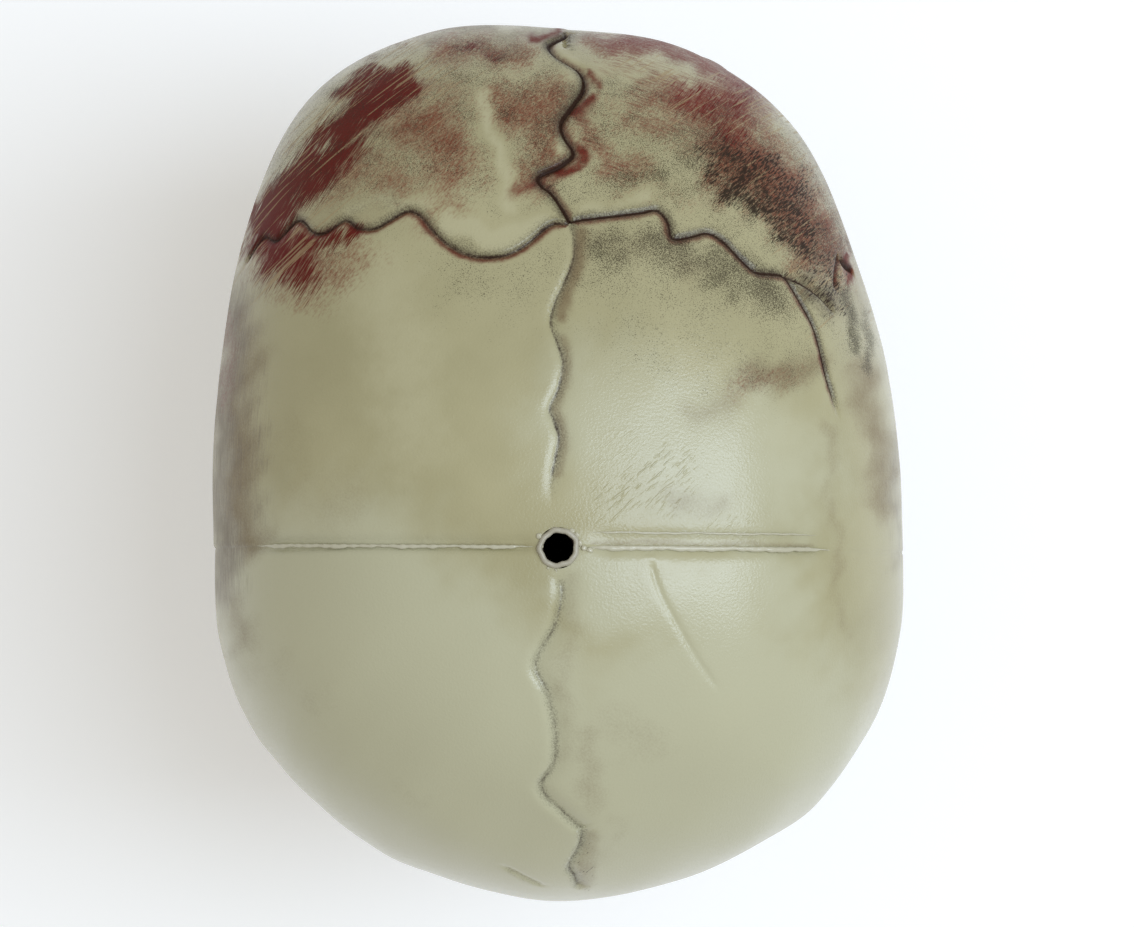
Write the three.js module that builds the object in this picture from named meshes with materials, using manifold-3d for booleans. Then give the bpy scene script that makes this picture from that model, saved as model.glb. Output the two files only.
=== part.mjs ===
// A life-size moulded plastic skull decoration with a hinged jaw.
// Two hollow half shells meet at a seam across the crown, around a short tube that the skull is hung by,
// and the jaw turns on two screws below the cheek arches.
// Millimetres, +Z up, face towards -Y, +X to the skull's own left.
// Built with the seam at y = 0 and the table at z = 0. At the end the whole skull moves along Y, so that the
// origin is on the table below the middle of it.

import * as THREE from "three";
import { mergeVertices } from "three/addons/utils/BufferGeometryUtils.js";
import Module from "manifold-3d";

const wasm = await Module();
wasm.setup();

// Driving sizes of the whole skull
const BREADTH = 150;
const FRONT_LENGTH = 113;
const BACK_LENGTH = 76;
const HEIGHT = 217;
const HALF_BREADTH = BREADTH / 2;

// Shell walls and fits
const WALL = 2.2;
const PIECE_GAP = 0.3;
const CUT_OVERRUN = 5;
const LIP_LENGTH = 4;
const LIP_THICKNESS = 1.4;
const LIP_ROOT = 3;

// Mesh density: divisions around the front-to-back axis, and rings from the face to the back
const OUTER_AROUND = 60;
const OUTER_FRONT_RINGS = 20;
const OUTER_BACK_RINGS = 9;
const INNER_AROUND = 36;
const INNER_FRONT_RINGS = 12;
const INNER_BACK_RINGS = 6;
const FACE_CROWDING = 1.2;
const BACK_CROWDING = 1.15;
const ROUND_SIDES = 24;
const SEARCH_STEPS = 110;
const HALVINGS = 18;

// Braincase: the level where it is widest, its base, and how full its crown and base sections are
const WIDEST_SHARE = 0.673;
const BASE_SHARE = 0.281;
const CROWN_FULLNESS = 2.3;
const BASE_FULLNESS = 2.6;
// Outline seen from above as a share of an ellipse's radius, every 15 degrees from the forehead to the back
const LEFT_OUTLINE_SHARES = [1, 1.066, 1.117, 1.095, 1.05, 1.02, 1, 1.016, 1.028, 1.019, 1, 0.992, 1];
const RIGHT_OUTLINE_SHARES = [1, 1.036, 1.034, 1.02, 1.016, 1.004, 1, 1.021, 1.035, 1.036, 1.02, 1.016, 1];

// Features of the face and base, each placed in shares of the half breadth, the front length and the height
const BROW = {
  middleShares: [0, 0.912, 0.592], middleRadius: 9.5,
  archShares: [0.387, 0.876, 0.612], archRadius: 9,
  endShares: [0.7, 0.752, 0.567], endRadius: 7.5,
};
// Eye sockets and nose opening are cut as tapering hollows: each ring has a depth share and a size share
const SOCKET = {
  centreShares: [0.43, 0.88, 0.512], halfWidth: 19, halfHeight: 17.2, depth: 40, inward: 9,
  squareness: 2.6, slopeShare: 0.14, corners: 22,
  ringShares: [[-0.8, 1.14], [0, 1], [0.4, 0.93], [0.75, 0.7], [1, 0.34]],
};
const CHEEK = {
  rimTopShares: [0.725, 0.726, 0.502], rimTopRadius: 6.3,
  rimLowShares: [0.713, 0.717, 0.452], rimLowRadius: 7.5,
  bodyShares: [0.64, 0.735, 0.41], bodyRadius: 11.5,
  underEyeShares: [0.427, 0.858, 0.42], underEyeRadius: 6,
  noseSideShares: [0.2, 0.915, 0.438], noseSideRadius: 5.5,
};
const NOSE = {
  rootShares: [0, 0.93, 0.576], rootRadius: 7,
  tipShares: [0, 0.99, 0.484], tipRadius: 6,
  sideTopShares: [0.127, 0.92, 0.512], sideTopRadius: 6,
};
const NOSTRIL = {
  centreShares: [0, 0.96, 0.402], width: 25, height: 35, depth: 27,
  halfOutlineShares: [
    [0.1, 0.5], [0.25, 0.38], [0.4, 0.1], [0.5, -0.2], [0.46, -0.4], [0.28, -0.5], [0.08, -0.44],
  ],
  ringShares: [[-0.8, 1.02], [0, 1], [0.6, 0.9], [1, 0.55]],
};
const UPPER_JAW = { centreShares: [0, 0.745, 0.32], radii: [34, 24, 32] };
const PALATE = { centreShares: [0, 0.51, 0.36], radii: [27.5, 38, 22] };
const TEMPLE = { centreShares: [1.19, 0.42, 0.5], radii: [33, 38, 34] };
// Deep cuts: the hollow behind each brow's outer end, and the space below each cheek arch for the jaw
const TEMPLE_PIT = { centreShares: [0.92, 0.53, 0.452], radii: [20, 17, 20], sides: 16 };
const JAW_POCKET = {
  innerShare: 0.507, outerShare: 2, frontShare: 0.673, backShare: 0.03, footShare: 0.12, roofShare: 0.43,
  round: 9, roundSteps: 3,
};
// The bump behind each ear: rings from its root down to its tip, each with a place and a radius
const MASTOID = {
  rings: [
    { atShares: [0.69, -0.15, 0.45], radius: 13 },
    { atShares: [0.7, -0.142, 0.38], radius: 12 },
    { atShares: [0.7, -0.13, 0.325], radius: 9.5 },
    { atShares: [0.69, -0.12, 0.285], radius: 6 },
    { atShares: [0.685, -0.115, 0.272], radius: 2 },
  ],
  sides: 12,
};
const NECK_DISH = { centreShares: [0, -0.204, 0.281], radii: [15, 18, 4] };
const SOFT_JOIN = 7;
const FIRM_JOIN = 3;

// Cheek arch: a bar from the cheekbone back to the side of the braincase
const ARCH = {
  pathShares: [
    [0.7, 0.7, 0.412], [0.84, 0.566, 0.419], [0.9, 0.398, 0.428], [0.893, 0.239, 0.437], [0.84, 0.06, 0.446],
  ],
  endRadius: 7, middleRadius: 4.6, stations: 14, sides: 8, flatShare: 0.72,
};

// Tooth rows: half of each arch is a quarter ellipse and a short straight run
const ARCH_CENTRE_SHARE = 0.531;
const ARCH_WIDTH_SHARE = 0.393;
const ARCH_DEPTH_SHARE = 0.363;
const ARCH_STRAIGHT_SHARE = 0.071;
const RIDGE_THICKNESS = 12.5;
const TOOTH_WIDTH_SHARES = [0.15, 0.115, 0.135, 0.123, 0.119, 0.182, 0.176];
const TOOTH_THICKNESS_SHARES = [0.72, 0.72, 0.86, 0.95, 0.98, 1.1, 1.1];
const TOOTH_THICKNESS = 8.6;
const TOOTH_HEIGHT = 10;
const TOOTH_SINK = 2;
const LOWER_ARCH_SHARE = 0.94;
const TOOTH_TAPER_SHARE = 0.84;
const TOOTH_SIDES = 8;
const TOOTH_SPACING_SHARE = 1.03;
const BITE_SHARE = 0.198;
const BITE_GAP = 0.6;

// Lower jaw
const HINGE_FORWARD_SHARE = 0.15;
const HINGE_SHARE = 0.392;
const JAW_BODY = {
  footShares: [
    [0.69, 0.335], [0.685, 0.42], [0.62, 0.51], [0.5, 0.64], [0.35, 0.75], [0.2, 0.812], [0, 0.83],
  ],
  ridgeShares: [
    [0.69, 0.3], [0.65, 0.37], [0.44, 0.44], [0.37, 0.56], [0.335, 0.69], [0.23, 0.8], [0, 0.868],
  ],
  footWidth: 11, ridgeWidth: 9.5, backDropShare: 0.2, dropSharpness: 16,
  backWidthShare: 0.5, widenShare: 0.17, stations: 34,
};
const JAW_SECTION_SHARES = [
  [-0.32, 0], [0.32, 0], [0.5, 0.14], [0.5, 0.55], [0.5, 0.92],
  [0.3, 1], [-0.3, 1], [-0.5, 0.92], [-0.5, 0.55], [-0.5, 0.14],
];
const CHIN = { centreShares: [0, 0.832, 0.05], radii: [17, 8.5, 10], sides: 12 };
const RAMUS = {
  innerShare: 0.647, thickness: 6.5, bevel: 1, hubRadius: 7.5, hubThickness: 8, curvePoints: 6,
  // The plate seen from the side, in shares of the front length ahead of the seam and of the height
  startShares: [0.47, 0.005],
  curveShares: [
    [[0.4, 0.005], [0.32, 0.005]],
    [[0.205, 0.01], [0.178, 0.07]],
    [[0.15, 0.18], [0.122, 0.286]],
    [[0.088, 0.34], [0.088, 0.392]],
    [[0.14, 0.42], [0.205, 0.392]],
    [[0.23, 0.322], [0.305, 0.318]],
    [[0.385, 0.318], [0.385, 0.395]],
    [[0.41, 0.415], [0.445, 0.4]],
    [[0.465, 0.29], [0.475, 0.19]],
    [[0.475, 0.1], [0.47, 0.005]],
  ],
};

// Hinge hardware on each side, from the shell outwards: boss, spacer, jaw hub, washer, screw head
const SCREW = {
  shankRadius: 2, headRadius: 4.2, headHeight: 2.4, engagement: 12,
  slotWidth: 1, slotLength: 4.8, slotDepth: 1.3,
};
const SCREW_CLEARANCE = 0.3;
const BOSS_RADIUS = 6;
const SPACER = { radius: 5.5, thickness: 1.2 };
const WASHER = { radius: 5.4, thickness: 0.9 };

// Tube in the crown, clamped between the two halves by its collar
const BUSH = {
  bore: 3.1, radius: 4.2, length: 14, stand: 0.9, collarRadius: 7, collarThickness: 2.2, collarDrop: 1.2,
};

const WIDEST = WIDEST_SHARE * HEIGHT;
const BASE = BASE_SHARE * HEIGHT;
const BITE = BITE_SHARE * HEIGHT;
const DENTAL_ARCH = {
  halfWidth: ARCH_WIDTH_SHARE * HALF_BREADTH,
  depth: ARCH_DEPTH_SHARE * FRONT_LENGTH,
  straight: ARCH_STRAIGHT_SHARE * FRONT_LENGTH,
  centre: -ARCH_CENTRE_SHARE * FRONT_LENGTH,
};
const SOCKET_LEVEL = SOCKET.centreShares[2] * HEIGHT;
const HINGE = new THREE.Vector3(0, -HINGE_FORWARD_SHARE * FRONT_LENGTH, HINGE_SHARE * HEIGHT);
const SKIN_CENTRE = new THREE.Vector3(0, 0, SOCKET_LEVEL);
const REACH = Math.hypot(FRONT_LENGTH, HEIGHT / 2);
const OUTLINE_SHARES = [...LEFT_OUTLINE_SHARES, ...RIGHT_OUTLINE_SHARES.slice(1, -1).reverse()];

// A place given in shares of the half breadth, the front length (forwards) and the height.
function place([acrossShare, forwardShare, upShare]) {
  return new THREE.Vector3(acrossShare * HALF_BREADTH, -forwardShare * FRONT_LENGTH, upShare * HEIGHT);
}

// The ridge round the left eye, from the middle of the brows round to the tip of the nose
const FACE_RIDGE = [
  [BROW.middleShares, BROW.middleRadius, SOFT_JOIN],
  [BROW.archShares, BROW.archRadius, SOFT_JOIN],
  [BROW.endShares, BROW.endRadius, SOFT_JOIN],
  [CHEEK.rimTopShares, CHEEK.rimTopRadius, SOFT_JOIN],
  [CHEEK.rimLowShares, CHEEK.rimLowRadius, SOFT_JOIN],
  [CHEEK.bodyShares, CHEEK.bodyRadius, SOFT_JOIN],
  [CHEEK.underEyeShares, CHEEK.underEyeRadius, SOFT_JOIN],
  [CHEEK.noseSideShares, CHEEK.noseSideRadius, SOFT_JOIN],
  [NOSE.sideTopShares, NOSE.sideTopRadius, FIRM_JOIN],
  [NOSE.rootShares, NOSE.rootRadius, FIRM_JOIN],
  [NOSE.tipShares, NOSE.tipRadius, FIRM_JOIN],
].map(([shares, radius, join]) => ({ centre: place(shares), radius, join }));

// Distances to simple forms, negative inside

function ellipsoid(p, centre, radii) {
  const [rx, ry, rz] = radii;
  const x = p.x - centre.x;
  const y = p.y - centre.y;
  const z = p.z - centre.z;
  const near = Math.hypot(x / rx, y / ry, z / rz);
  const slope = Math.hypot(x / (rx * rx), y / (ry * ry), z / (rz * rz));
  return slope === 0 ? -Math.min(rx, ry, rz) : (near * (near - 1)) / slope;
}

function taperedBar(p, a, b, radiusA, radiusB) {
  const along = new THREE.Vector3().subVectors(b, a);
  const t = THREE.MathUtils.clamp(new THREE.Vector3().subVectors(p, a).dot(along) / along.lengthSq(), 0, 1);
  return p.distanceTo(along.multiplyScalar(t).add(a)) - THREE.MathUtils.lerp(radiusA, radiusB, t);
}

function blend(a, b, softness) {
  const h = Math.max(softness - Math.abs(a - b), 0) / softness;
  return Math.min(a, b) - (h * h * softness) / 4;
}

function carve(a, tool, softness) {
  return -blend(-a, tool, softness);
}

// The outline's share at an angle from the forehead, on a smooth closed curve through the listed shares.
function outlineShare(angle) {
  const count = OUTLINE_SHARES.length;
  const step = ((angle / (2 * Math.PI)) * count + count) % count;
  const i = Math.floor(step);
  const [a, b, c, d] = [-1, 0, 1, 2].map((k) => OUTLINE_SHARES[(i + k + count) % count]);
  const t = step - i;
  return b + (t / 2) * (c - a + t * (2 * a - 5 * b + 4 * c - d + t * (3 * (b - c) + d - a)));
}

function braincase(p) {
  const across = p.x / HALF_BREADTH;
  const ahead = -p.y / (p.y < 0 ? FRONT_LENGTH : BACK_LENGTH);
  const above = p.z > WIDEST;
  const rise = Math.abs(p.z - WIDEST) / (above ? HEIGHT - WIDEST : WIDEST - BASE);
  const fullness = above ? CROWN_FULLNESS : BASE_FULLNESS;
  const plan = Math.hypot(across, ahead) / outlineShare(Math.atan2(p.x, -p.y));
  const size = (plan ** fullness + rise ** fullness) ** (1 / fullness);
  return Math.hypot(p.x, p.y, p.z - WIDEST) * (1 - 1 / Math.max(size, Number.EPSILON));
}

// The ridge that carries the upper teeth.
function toothRidge(p) {
  const { halfWidth, depth, straight, centre } = DENTAL_ARCH;
  const back = p.y - centre;
  const size = Math.hypot(p.x / halfWidth, back / depth);
  const fromRound = Math.hypot(p.x, back) * (1 - 1 / Math.max(size, Number.EPSILON));
  const side = Math.abs(back < 0 ? fromRound : Math.abs(p.x) - halfWidth) - RIDGE_THICKNESS / 2;
  const foot = BITE + TOOTH_HEIGHT - TOOTH_SINK - p.z;
  const top = p.z - UPPER_JAW.centreShares[2] * HEIGHT;
  return -blend(-Math.max(side, top), -Math.max(foot, back - straight), FIRM_JOIN);
}

// The outside of the closed moulding, without the cheek arches and teeth.
function cranium(point) {
  const p = new THREE.Vector3(Math.abs(point.x), point.y, point.z);
  let d = braincase(point);
  d = carve(d, ellipsoid(p, place(TEMPLE.centreShares), TEMPLE.radii), SOFT_JOIN);
  d = blend(d, upperJaw(p), SOFT_JOIN);
  d = blend(d, ellipsoid(p, place(PALATE.centreShares), PALATE.radii), SOFT_JOIN);
  d = blend(d, toothRidge(p), FIRM_JOIN);
  FACE_RIDGE.slice(1).forEach((end, i) => {
    const start = FACE_RIDGE[i];
    d = blend(d, taperedBar(p, start.centre, end.centre, start.radius, end.radius), end.join);
  });
  return carve(d, ellipsoid(p, place(NECK_DISH.centreShares), NECK_DISH.radii), FIRM_JOIN);
}

// The bone above the upper teeth, cut off level at the foot of their ridge.
function upperJaw(p) {
  const foot = BITE + TOOTH_HEIGHT - TOOTH_SINK - p.z;
  return -blend(-ellipsoid(p, place(UPPER_JAW.centreShares), UPPER_JAW.radii), -foot, FIRM_JOIN);
}

// Solids

function solidOf(geometry) {
  const bare = geometry.clone();
  bare.deleteAttribute("normal");
  bare.deleteAttribute("uv");
  const merged = mergeVertices(bare);
  return new wasm.Manifold(
    new wasm.Mesh({
      numProp: 3,
      vertProperties: merged.getAttribute("position").array,
      triVerts: new Uint32Array(merged.index.array),
    }),
  );
}

function geometryOf(solid) {
  const { vertProperties, triVerts } = solid.getMesh();
  const geometry = new THREE.BufferGeometry();
  geometry.setAttribute("position", new THREE.BufferAttribute(vertProperties, 3));
  geometry.setIndex(new THREE.BufferAttribute(triVerts, 1));
  const flat = geometry.toNonIndexed();
  flat.computeVertexNormals();
  return flat;
}

// A closed skin around the skull, at a depth under its outside.
// Its rings crowd towards the face, and one of them lies on the seam.
function skin(depth, around, frontRings, backRings) {
  const rings = frontRings + backRings;
  const ball = new THREE.SphereGeometry(1, around, rings);
  const position = ball.getAttribute("position");
  const seamShare = frontRings / rings;
  const direction = new THREE.Vector3();
  for (let i = 0; i < position.count; i += 1) {
    direction.fromBufferAttribute(position, i).normalize();
    const share = Math.acos(THREE.MathUtils.clamp(-direction.y, -1, 1)) / Math.PI;
    const polar = share <= seamShare
      ? (Math.PI / 2) * (share / seamShare) ** FACE_CROWDING
      : (Math.PI / 2) * (1 + ((share - seamShare) / (1 - seamShare)) ** BACK_CROWDING);
    const spread = Math.sin(polar) / (Math.hypot(direction.x, direction.z) || 1);
    direction.set(direction.x * spread, -Math.cos(polar), direction.z * spread);
    const onSeam = Math.abs(share - seamShare) * rings < 1 / rings;
    if (onSeam) direction.y = 0;
    const radius = skinRadius(direction, depth);
    position.setXYZ(i, direction.x * radius, direction.y * radius, direction.z * radius + SKIN_CENTRE.z);
  }
  return solidOf(ball);
}

// How far out the skin lies along a direction: the outermost place where the form is at least this deep.
function skinRadius(direction, depth) {
  const at = (radius) => cranium(direction.clone().multiplyScalar(radius).add(SKIN_CENTRE)) + depth;
  let outside = REACH;
  let inside = 0;
  for (let i = 1; i < SEARCH_STEPS; i += 1) {
    const radius = REACH * (1 - i / SEARCH_STEPS);
    if (at(radius) < 0) {
      inside = radius;
      break;
    }
    outside = radius;
  }
  for (let i = 0; i < HALVINGS; i += 1) {
    const middle = (inside + outside) / 2;
    if (at(middle) < 0) inside = middle;
    else outside = middle;
  }
  return inside;
}

// A box that spans the whole skull across and up, between two places front to back.
function slab(from, to) {
  const box = new THREE.BoxGeometry(2 * REACH, to - from, 2 * REACH);
  return solidOf(box.translate(0, (from + to) / 2, SKIN_CENTRE.z));
}

// A round bar along X between two places, at a height and distance from the front.
function crossBar(radius, from, to, centre) {
  const bar = new THREE.CylinderGeometry(radius, radius, to - from, ROUND_SIDES);
  return solidOf(bar.rotateZ(-Math.PI / 2).translate((from + to) / 2, centre.y, centre.z));
}

// A closed loft through rings of points.
function loft(rings) {
  const sides = rings[0].length;
  const last = rings.length - 1;
  const points = rings.flat();
  const faces = [];
  for (let r = 0; r < last; r += 1) {
    for (let s = 0; s < sides; s += 1) {
      const a = r * sides + s;
      const b = r * sides + ((s + 1) % sides);
      faces.push(a, b, a + sides, b, b + sides, a + sides);
    }
  }
  for (let s = 1; s < sides - 1; s += 1) {
    faces.push(0, s + 1, s, last * sides, last * sides + s, last * sides + s + 1);
  }
  const geometry = new THREE.BufferGeometry().setFromPoints(points);
  geometry.setIndex(faces);
  const solid = solidOf(geometry);
  if (solid.volume() > 0) return solid;
  for (let i = 0; i < faces.length; i += 3) [faces[i], faces[i + 1]] = [faces[i + 1], faces[i]];
  geometry.setIndex(faces);
  return solidOf(geometry);
}

// A hollow that narrows to the back: an outline in the face's plane, repeated at each ring's depth and size.
function hollow(spec, outline, wall) {
  const centre = place(spec.centreShares);
  const last = spec.ringShares.length - 1;
  const rings = spec.ringShares.map(([depthShare, sizeShare], i) => {
    const back = spec.depth * depthShare + (i === last ? wall : 0);
    const inward = Math.max(depthShare, 0) * (spec.inward ?? 0);
    const offset = (x, z) => new THREE.Vector3(x - inward, back, z);
    return outline(sizeShare, wall).map(([x, z]) => offset(x, z).add(centre));
  });
  return loft(rings);
}

// The left eye socket, grown by a wall.
function eyeSocket(wall) {
  const rounding = 2 / SOCKET.squareness;
  const outline = (sizeShare, grown) => Array.from({ length: SOCKET.corners }, (_, i) => {
    const angle = (2 * Math.PI * i) / SOCKET.corners;
    const across = Math.sign(Math.cos(angle)) * Math.abs(Math.cos(angle)) ** rounding;
    const up = Math.sign(Math.sin(angle)) * Math.abs(Math.sin(angle)) ** rounding;
    const x = across * (sizeShare * SOCKET.halfWidth + grown);
    return [x, up * (sizeShare * SOCKET.halfHeight + grown) - SOCKET.slopeShare * x];
  });
  return hollow(SOCKET, outline, wall);
}

// The pear-shaped nose opening, grown by a wall.
function noseOpening(wall) {
  const { width, height, halfOutlineShares } = NOSTRIL;
  const half = (sizeShare, grown) => halfOutlineShares.map(([x, z]) => [
    x * (sizeShare * width + 2 * grown),
    z * (sizeShare * height + 2 * grown),
  ]);
  const outline = (sizeShare, grown) => [
    ...half(sizeShare, grown),
    ...half(sizeShare, grown).reverse().map(([x, z]) => [-x, z]),
  ];
  return hollow(NOSTRIL, outline, wall);
}

// The space below the left cheek arch, grown by a wall.
function jawPocket(wall) {
  const { round, innerShare, outerShare, frontShare, backShare, footShare, roofShare } = JAW_POCKET;
  const low = place([innerShare, frontShare, footShare]).addScalar(round - wall);
  const high = place([outerShare, backShare, roofShare]).addScalar(wall - round);
  const floor = new THREE.Shape([
    new THREE.Vector2(low.x, low.y),
    new THREE.Vector2(high.x, low.y),
    new THREE.Vector2(high.x, high.y),
    new THREE.Vector2(low.x, high.y),
  ]);
  const box = new THREE.ExtrudeGeometry(floor, {
    depth: high.z - low.z,
    bevelThickness: round,
    bevelSize: round,
    bevelSegments: JAW_POCKET.roundSteps,
  });
  return solidOf(box.translate(0, 0, low.z));
}

// The hollow behind the brow's left end, grown by a wall.
function templePit(wall) {
  const centre = place(TEMPLE_PIT.centreShares);
  const ball = new THREE.SphereGeometry(1, TEMPLE_PIT.sides, TEMPLE_PIT.sides / 2);
  ball.scale(...TEMPLE_PIT.radii.map((radius) => radius + wall));
  return solidOf(ball.translate(centre.x, centre.y, centre.z));
}

// The largest of a solid's separate bodies.
function mainBody(solid) {
  return solid.decompose().reduce((best, body) => (body.volume() > best.volume() ? body : best));
}

function mirrored(solid) {
  const geometry = geometryOf(solid).scale(-1, 1, 1);
  const position = geometry.getAttribute("position");
  const a = new THREE.Vector3();
  const b = new THREE.Vector3();
  for (let i = 0; i < position.count; i += 3) {
    a.fromBufferAttribute(position, i);
    b.fromBufferAttribute(position, i + 1);
    position.setXYZ(i, b.x, b.y, b.z);
    position.setXYZ(i + 1, a.x, a.y, a.z);
  }
  return solidOf(geometry);
}

function cheekArch() {
  const path = new THREE.CatmullRomCurve3(ARCH.pathShares.map(place));
  const rings = [];
  for (let i = 0; i <= ARCH.stations; i += 1) {
    const t = i / ARCH.stations;
    const centre = path.getPoint(t);
    const tangent = path.getTangent(t);
    const out = new THREE.Vector3(-tangent.y, tangent.x, 0).normalize();
    const up = new THREE.Vector3().crossVectors(tangent, out).normalize();
    const radius = THREE.MathUtils.lerp(ARCH.endRadius, ARCH.middleRadius, Math.sin(Math.PI * t));
    rings.push(
      Array.from({ length: ARCH.sides }, (_, s) => {
        const angle = (2 * Math.PI * s) / ARCH.sides;
        return centre
          .clone()
          .addScaledVector(out, ARCH.flatShare * radius * Math.cos(angle))
          .addScaledVector(up, radius * Math.sin(angle));
      }),
    );
  }
  return loft(rings);
}

function mastoid() {
  const rings = MASTOID.rings.map(({ atShares, radius }) => {
    const centre = place(atShares);
    return Array.from({ length: MASTOID.sides }, (_, i) => {
      const angle = (2 * Math.PI * i) / MASTOID.sides;
      return new THREE.Vector3(radius * Math.cos(angle), radius * Math.sin(angle), 0).add(centre);
    });
  });
  return loft(rings);
}

// Half of a tooth row's centre line, from the middle of the mouth back to the last molar.
function toothLine(sizeShare) {
  const halfWidth = sizeShare * DENTAL_ARCH.halfWidth;
  const depth = sizeShare * DENTAL_ARCH.depth;
  const { centre } = DENTAL_ARCH;
  const end = new THREE.Vector2(halfWidth, centre + sizeShare * DENTAL_ARCH.straight);
  const line = new THREE.CurvePath();
  line.add(new THREE.EllipseCurve(0, centre, halfWidth, depth, -Math.PI / 2, 0));
  line.add(new THREE.LineCurve(new THREE.Vector2(halfWidth, centre), end));
  return line;
}

// The teeth of one row, each from its biting edge into its ridge.
function teeth(edge, upwards, sizeShare) {
  const line = toothLine(sizeShare);
  const length = line.getLength();
  const solids = [];
  let start = 0;
  TOOTH_WIDTH_SHARES.forEach((widthShare, i) => {
    const middle = start + widthShare / 2;
    const width = widthShare * length * TOOTH_SPACING_SHARE;
    const point = line.getPointAt(middle);
    const tangent = line.getTangentAt(middle);
    const bottomShare = upwards > 0 ? 1 : TOOTH_TAPER_SHARE;
    const topShare = upwards > 0 ? TOOTH_TAPER_SHARE : 1;
    const tooth = new THREE.CylinderGeometry(topShare / 2, bottomShare / 2, 1, TOOTH_SIDES)
      .rotateY(Math.PI / TOOTH_SIDES)
      .rotateX(Math.PI / 2)
      .scale(width, TOOTH_THICKNESS * TOOTH_THICKNESS_SHARES[i], TOOTH_HEIGHT)
      .rotateZ(Math.atan2(tangent.y, tangent.x))
      .translate(point.x, point.y, edge + (upwards * TOOTH_HEIGHT) / 2);
    const solid = solidOf(tooth);
    solids.push(solid, mirrored(solid));
    start += widthShare;
  });
  return solids;
}

function unite(first, ...others) {
  return others.reduce((whole, solid) => whole.add(solid), first);
}

// Places along the hinge axis on the left side, measured from the middle of the skull
const PLATE_INNER = RAMUS.innerShare * HALF_BREADTH;
const HUB_INNER = PLATE_INNER + RAMUS.thickness / 2 - RAMUS.hubThickness / 2;
const HUB_OUTER = HUB_INNER + RAMUS.hubThickness;
const BOSS_FACE = HUB_INNER - 2 * PIECE_GAP - SPACER.thickness;
const BOSS_ROOT = BOSS_FACE - SCREW.engagement - WALL;
const WASHER_FACE = HUB_OUTER + PIECE_GAP;
const HEAD_FACE = WASHER_FACE + WASHER.thickness + PIECE_GAP;
const SHANK_END = BOSS_FACE - SCREW.engagement;

function screwBoss() {
  return crossBar(BOSS_RADIUS, BOSS_ROOT, BOSS_FACE, HINGE);
}

function bossHole() {
  return crossBar(SCREW.shankRadius + SCREW_CLEARANCE, SHANK_END - PIECE_GAP, BOSS_FACE + CUT_OVERRUN, HINGE);
}

function bushHole(radius) {
  const hole = new THREE.CylinderGeometry(radius, radius, BUSH.length + 2 * CUT_OVERRUN, ROUND_SIDES);
  return solidOf(hole.rotateX(Math.PI / 2).translate(0, 0, HEIGHT - BUSH.length / 2));
}

// Everything the face and base are cut by, each cut grown by a wall.
function cutOpenings(solid, wall) {
  const onLeft = unite(eyeSocket(wall), templePit(wall), jawPocket(wall));
  return solid.subtract(onLeft).subtract(mirrored(onLeft)).subtract(noseOpening(wall));
}

const outerSkin = cutOpenings(skin(0, OUTER_AROUND, OUTER_FRONT_RINGS, OUTER_BACK_RINGS), 0);
const innerSkin = mainBody(cutOpenings(skin(WALL, INNER_AROUND, INNER_FRONT_RINGS, INNER_BACK_RINGS), WALL));
const boss = screwBoss();
const shell = outerSkin
  .subtract(innerSkin)
  .add(boss)
  .add(mirrored(boss))
  .subtract(bossHole())
  .subtract(mirrored(bossHole()))
  .subtract(bushHole(BUSH.radius + PIECE_GAP));

function faceShell() {
  const arch = cheekArch();
  const kept = slab(-REACH, 0);
  const archOutside = mainBody(arch.subtract(innerSkin));
  const toothSolids = teeth(BITE, 1, 1).map((tooth) => tooth.subtract(innerSkin));
  return unite(shell, archOutside, mirrored(archOutside), ...toothSolids).intersect(kept);
}

// The rear half carries a lip that slides inside the front half and lines the two up.
function rearShell() {
  const density = [INNER_AROUND, INNER_FRONT_RINGS, INNER_BACK_RINGS];
  const lipInside = skin(WALL + PIECE_GAP + LIP_THICKNESS, ...density);
  const lip = skin(WALL + PIECE_GAP, ...density).subtract(lipInside).intersect(slab(-LIP_LENGTH, LIP_ROOT));
  const root = skin(WALL / 2, ...density).subtract(lipInside).intersect(slab(0, LIP_ROOT));
  const collarSpace = bushHole(BUSH.collarRadius + PIECE_GAP).intersect(innerSkin);
  const lipKept = lip.subtract(jawPocket(WALL + PIECE_GAP)).subtract(mirrored(jawPocket(WALL + PIECE_GAP)));
  const bump = mainBody(mastoid().subtract(innerSkin));
  return unite(shell.intersect(slab(0, REACH)), lipKept, root, bump, mirrored(bump))
    .subtract(collarSpace)
    .subtract(bushHole(BUSH.radius + PIECE_GAP));
}

function latheAlong(profile, sides) {
  return new THREE.LatheGeometry(profile.map(([x, y]) => new THREE.Vector2(x, y)), sides);
}

function ring(bore, radius, thickness) {
  return latheAlong([[bore, 0], [radius, 0], [radius, thickness], [bore, thickness], [bore, 0]], ROUND_SIDES);
}

function crownBush() {
  const top = HEIGHT + BUSH.stand;
  const collarTop = HEIGHT - WALL - BUSH.collarDrop;
  const collarFoot = collarTop - BUSH.collarThickness;
  const profile = [
    [BUSH.bore, top - BUSH.length],
    [BUSH.radius, top - BUSH.length],
    [BUSH.radius, collarFoot],
    [BUSH.collarRadius, collarFoot],
    [BUSH.collarRadius, collarTop],
    [BUSH.radius, collarTop],
    [BUSH.radius, top],
    [BUSH.bore, top],
    [BUSH.bore, top - BUSH.length],
  ];
  return latheAlong(profile, ROUND_SIDES).rotateX(Math.PI / 2);
}

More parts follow.
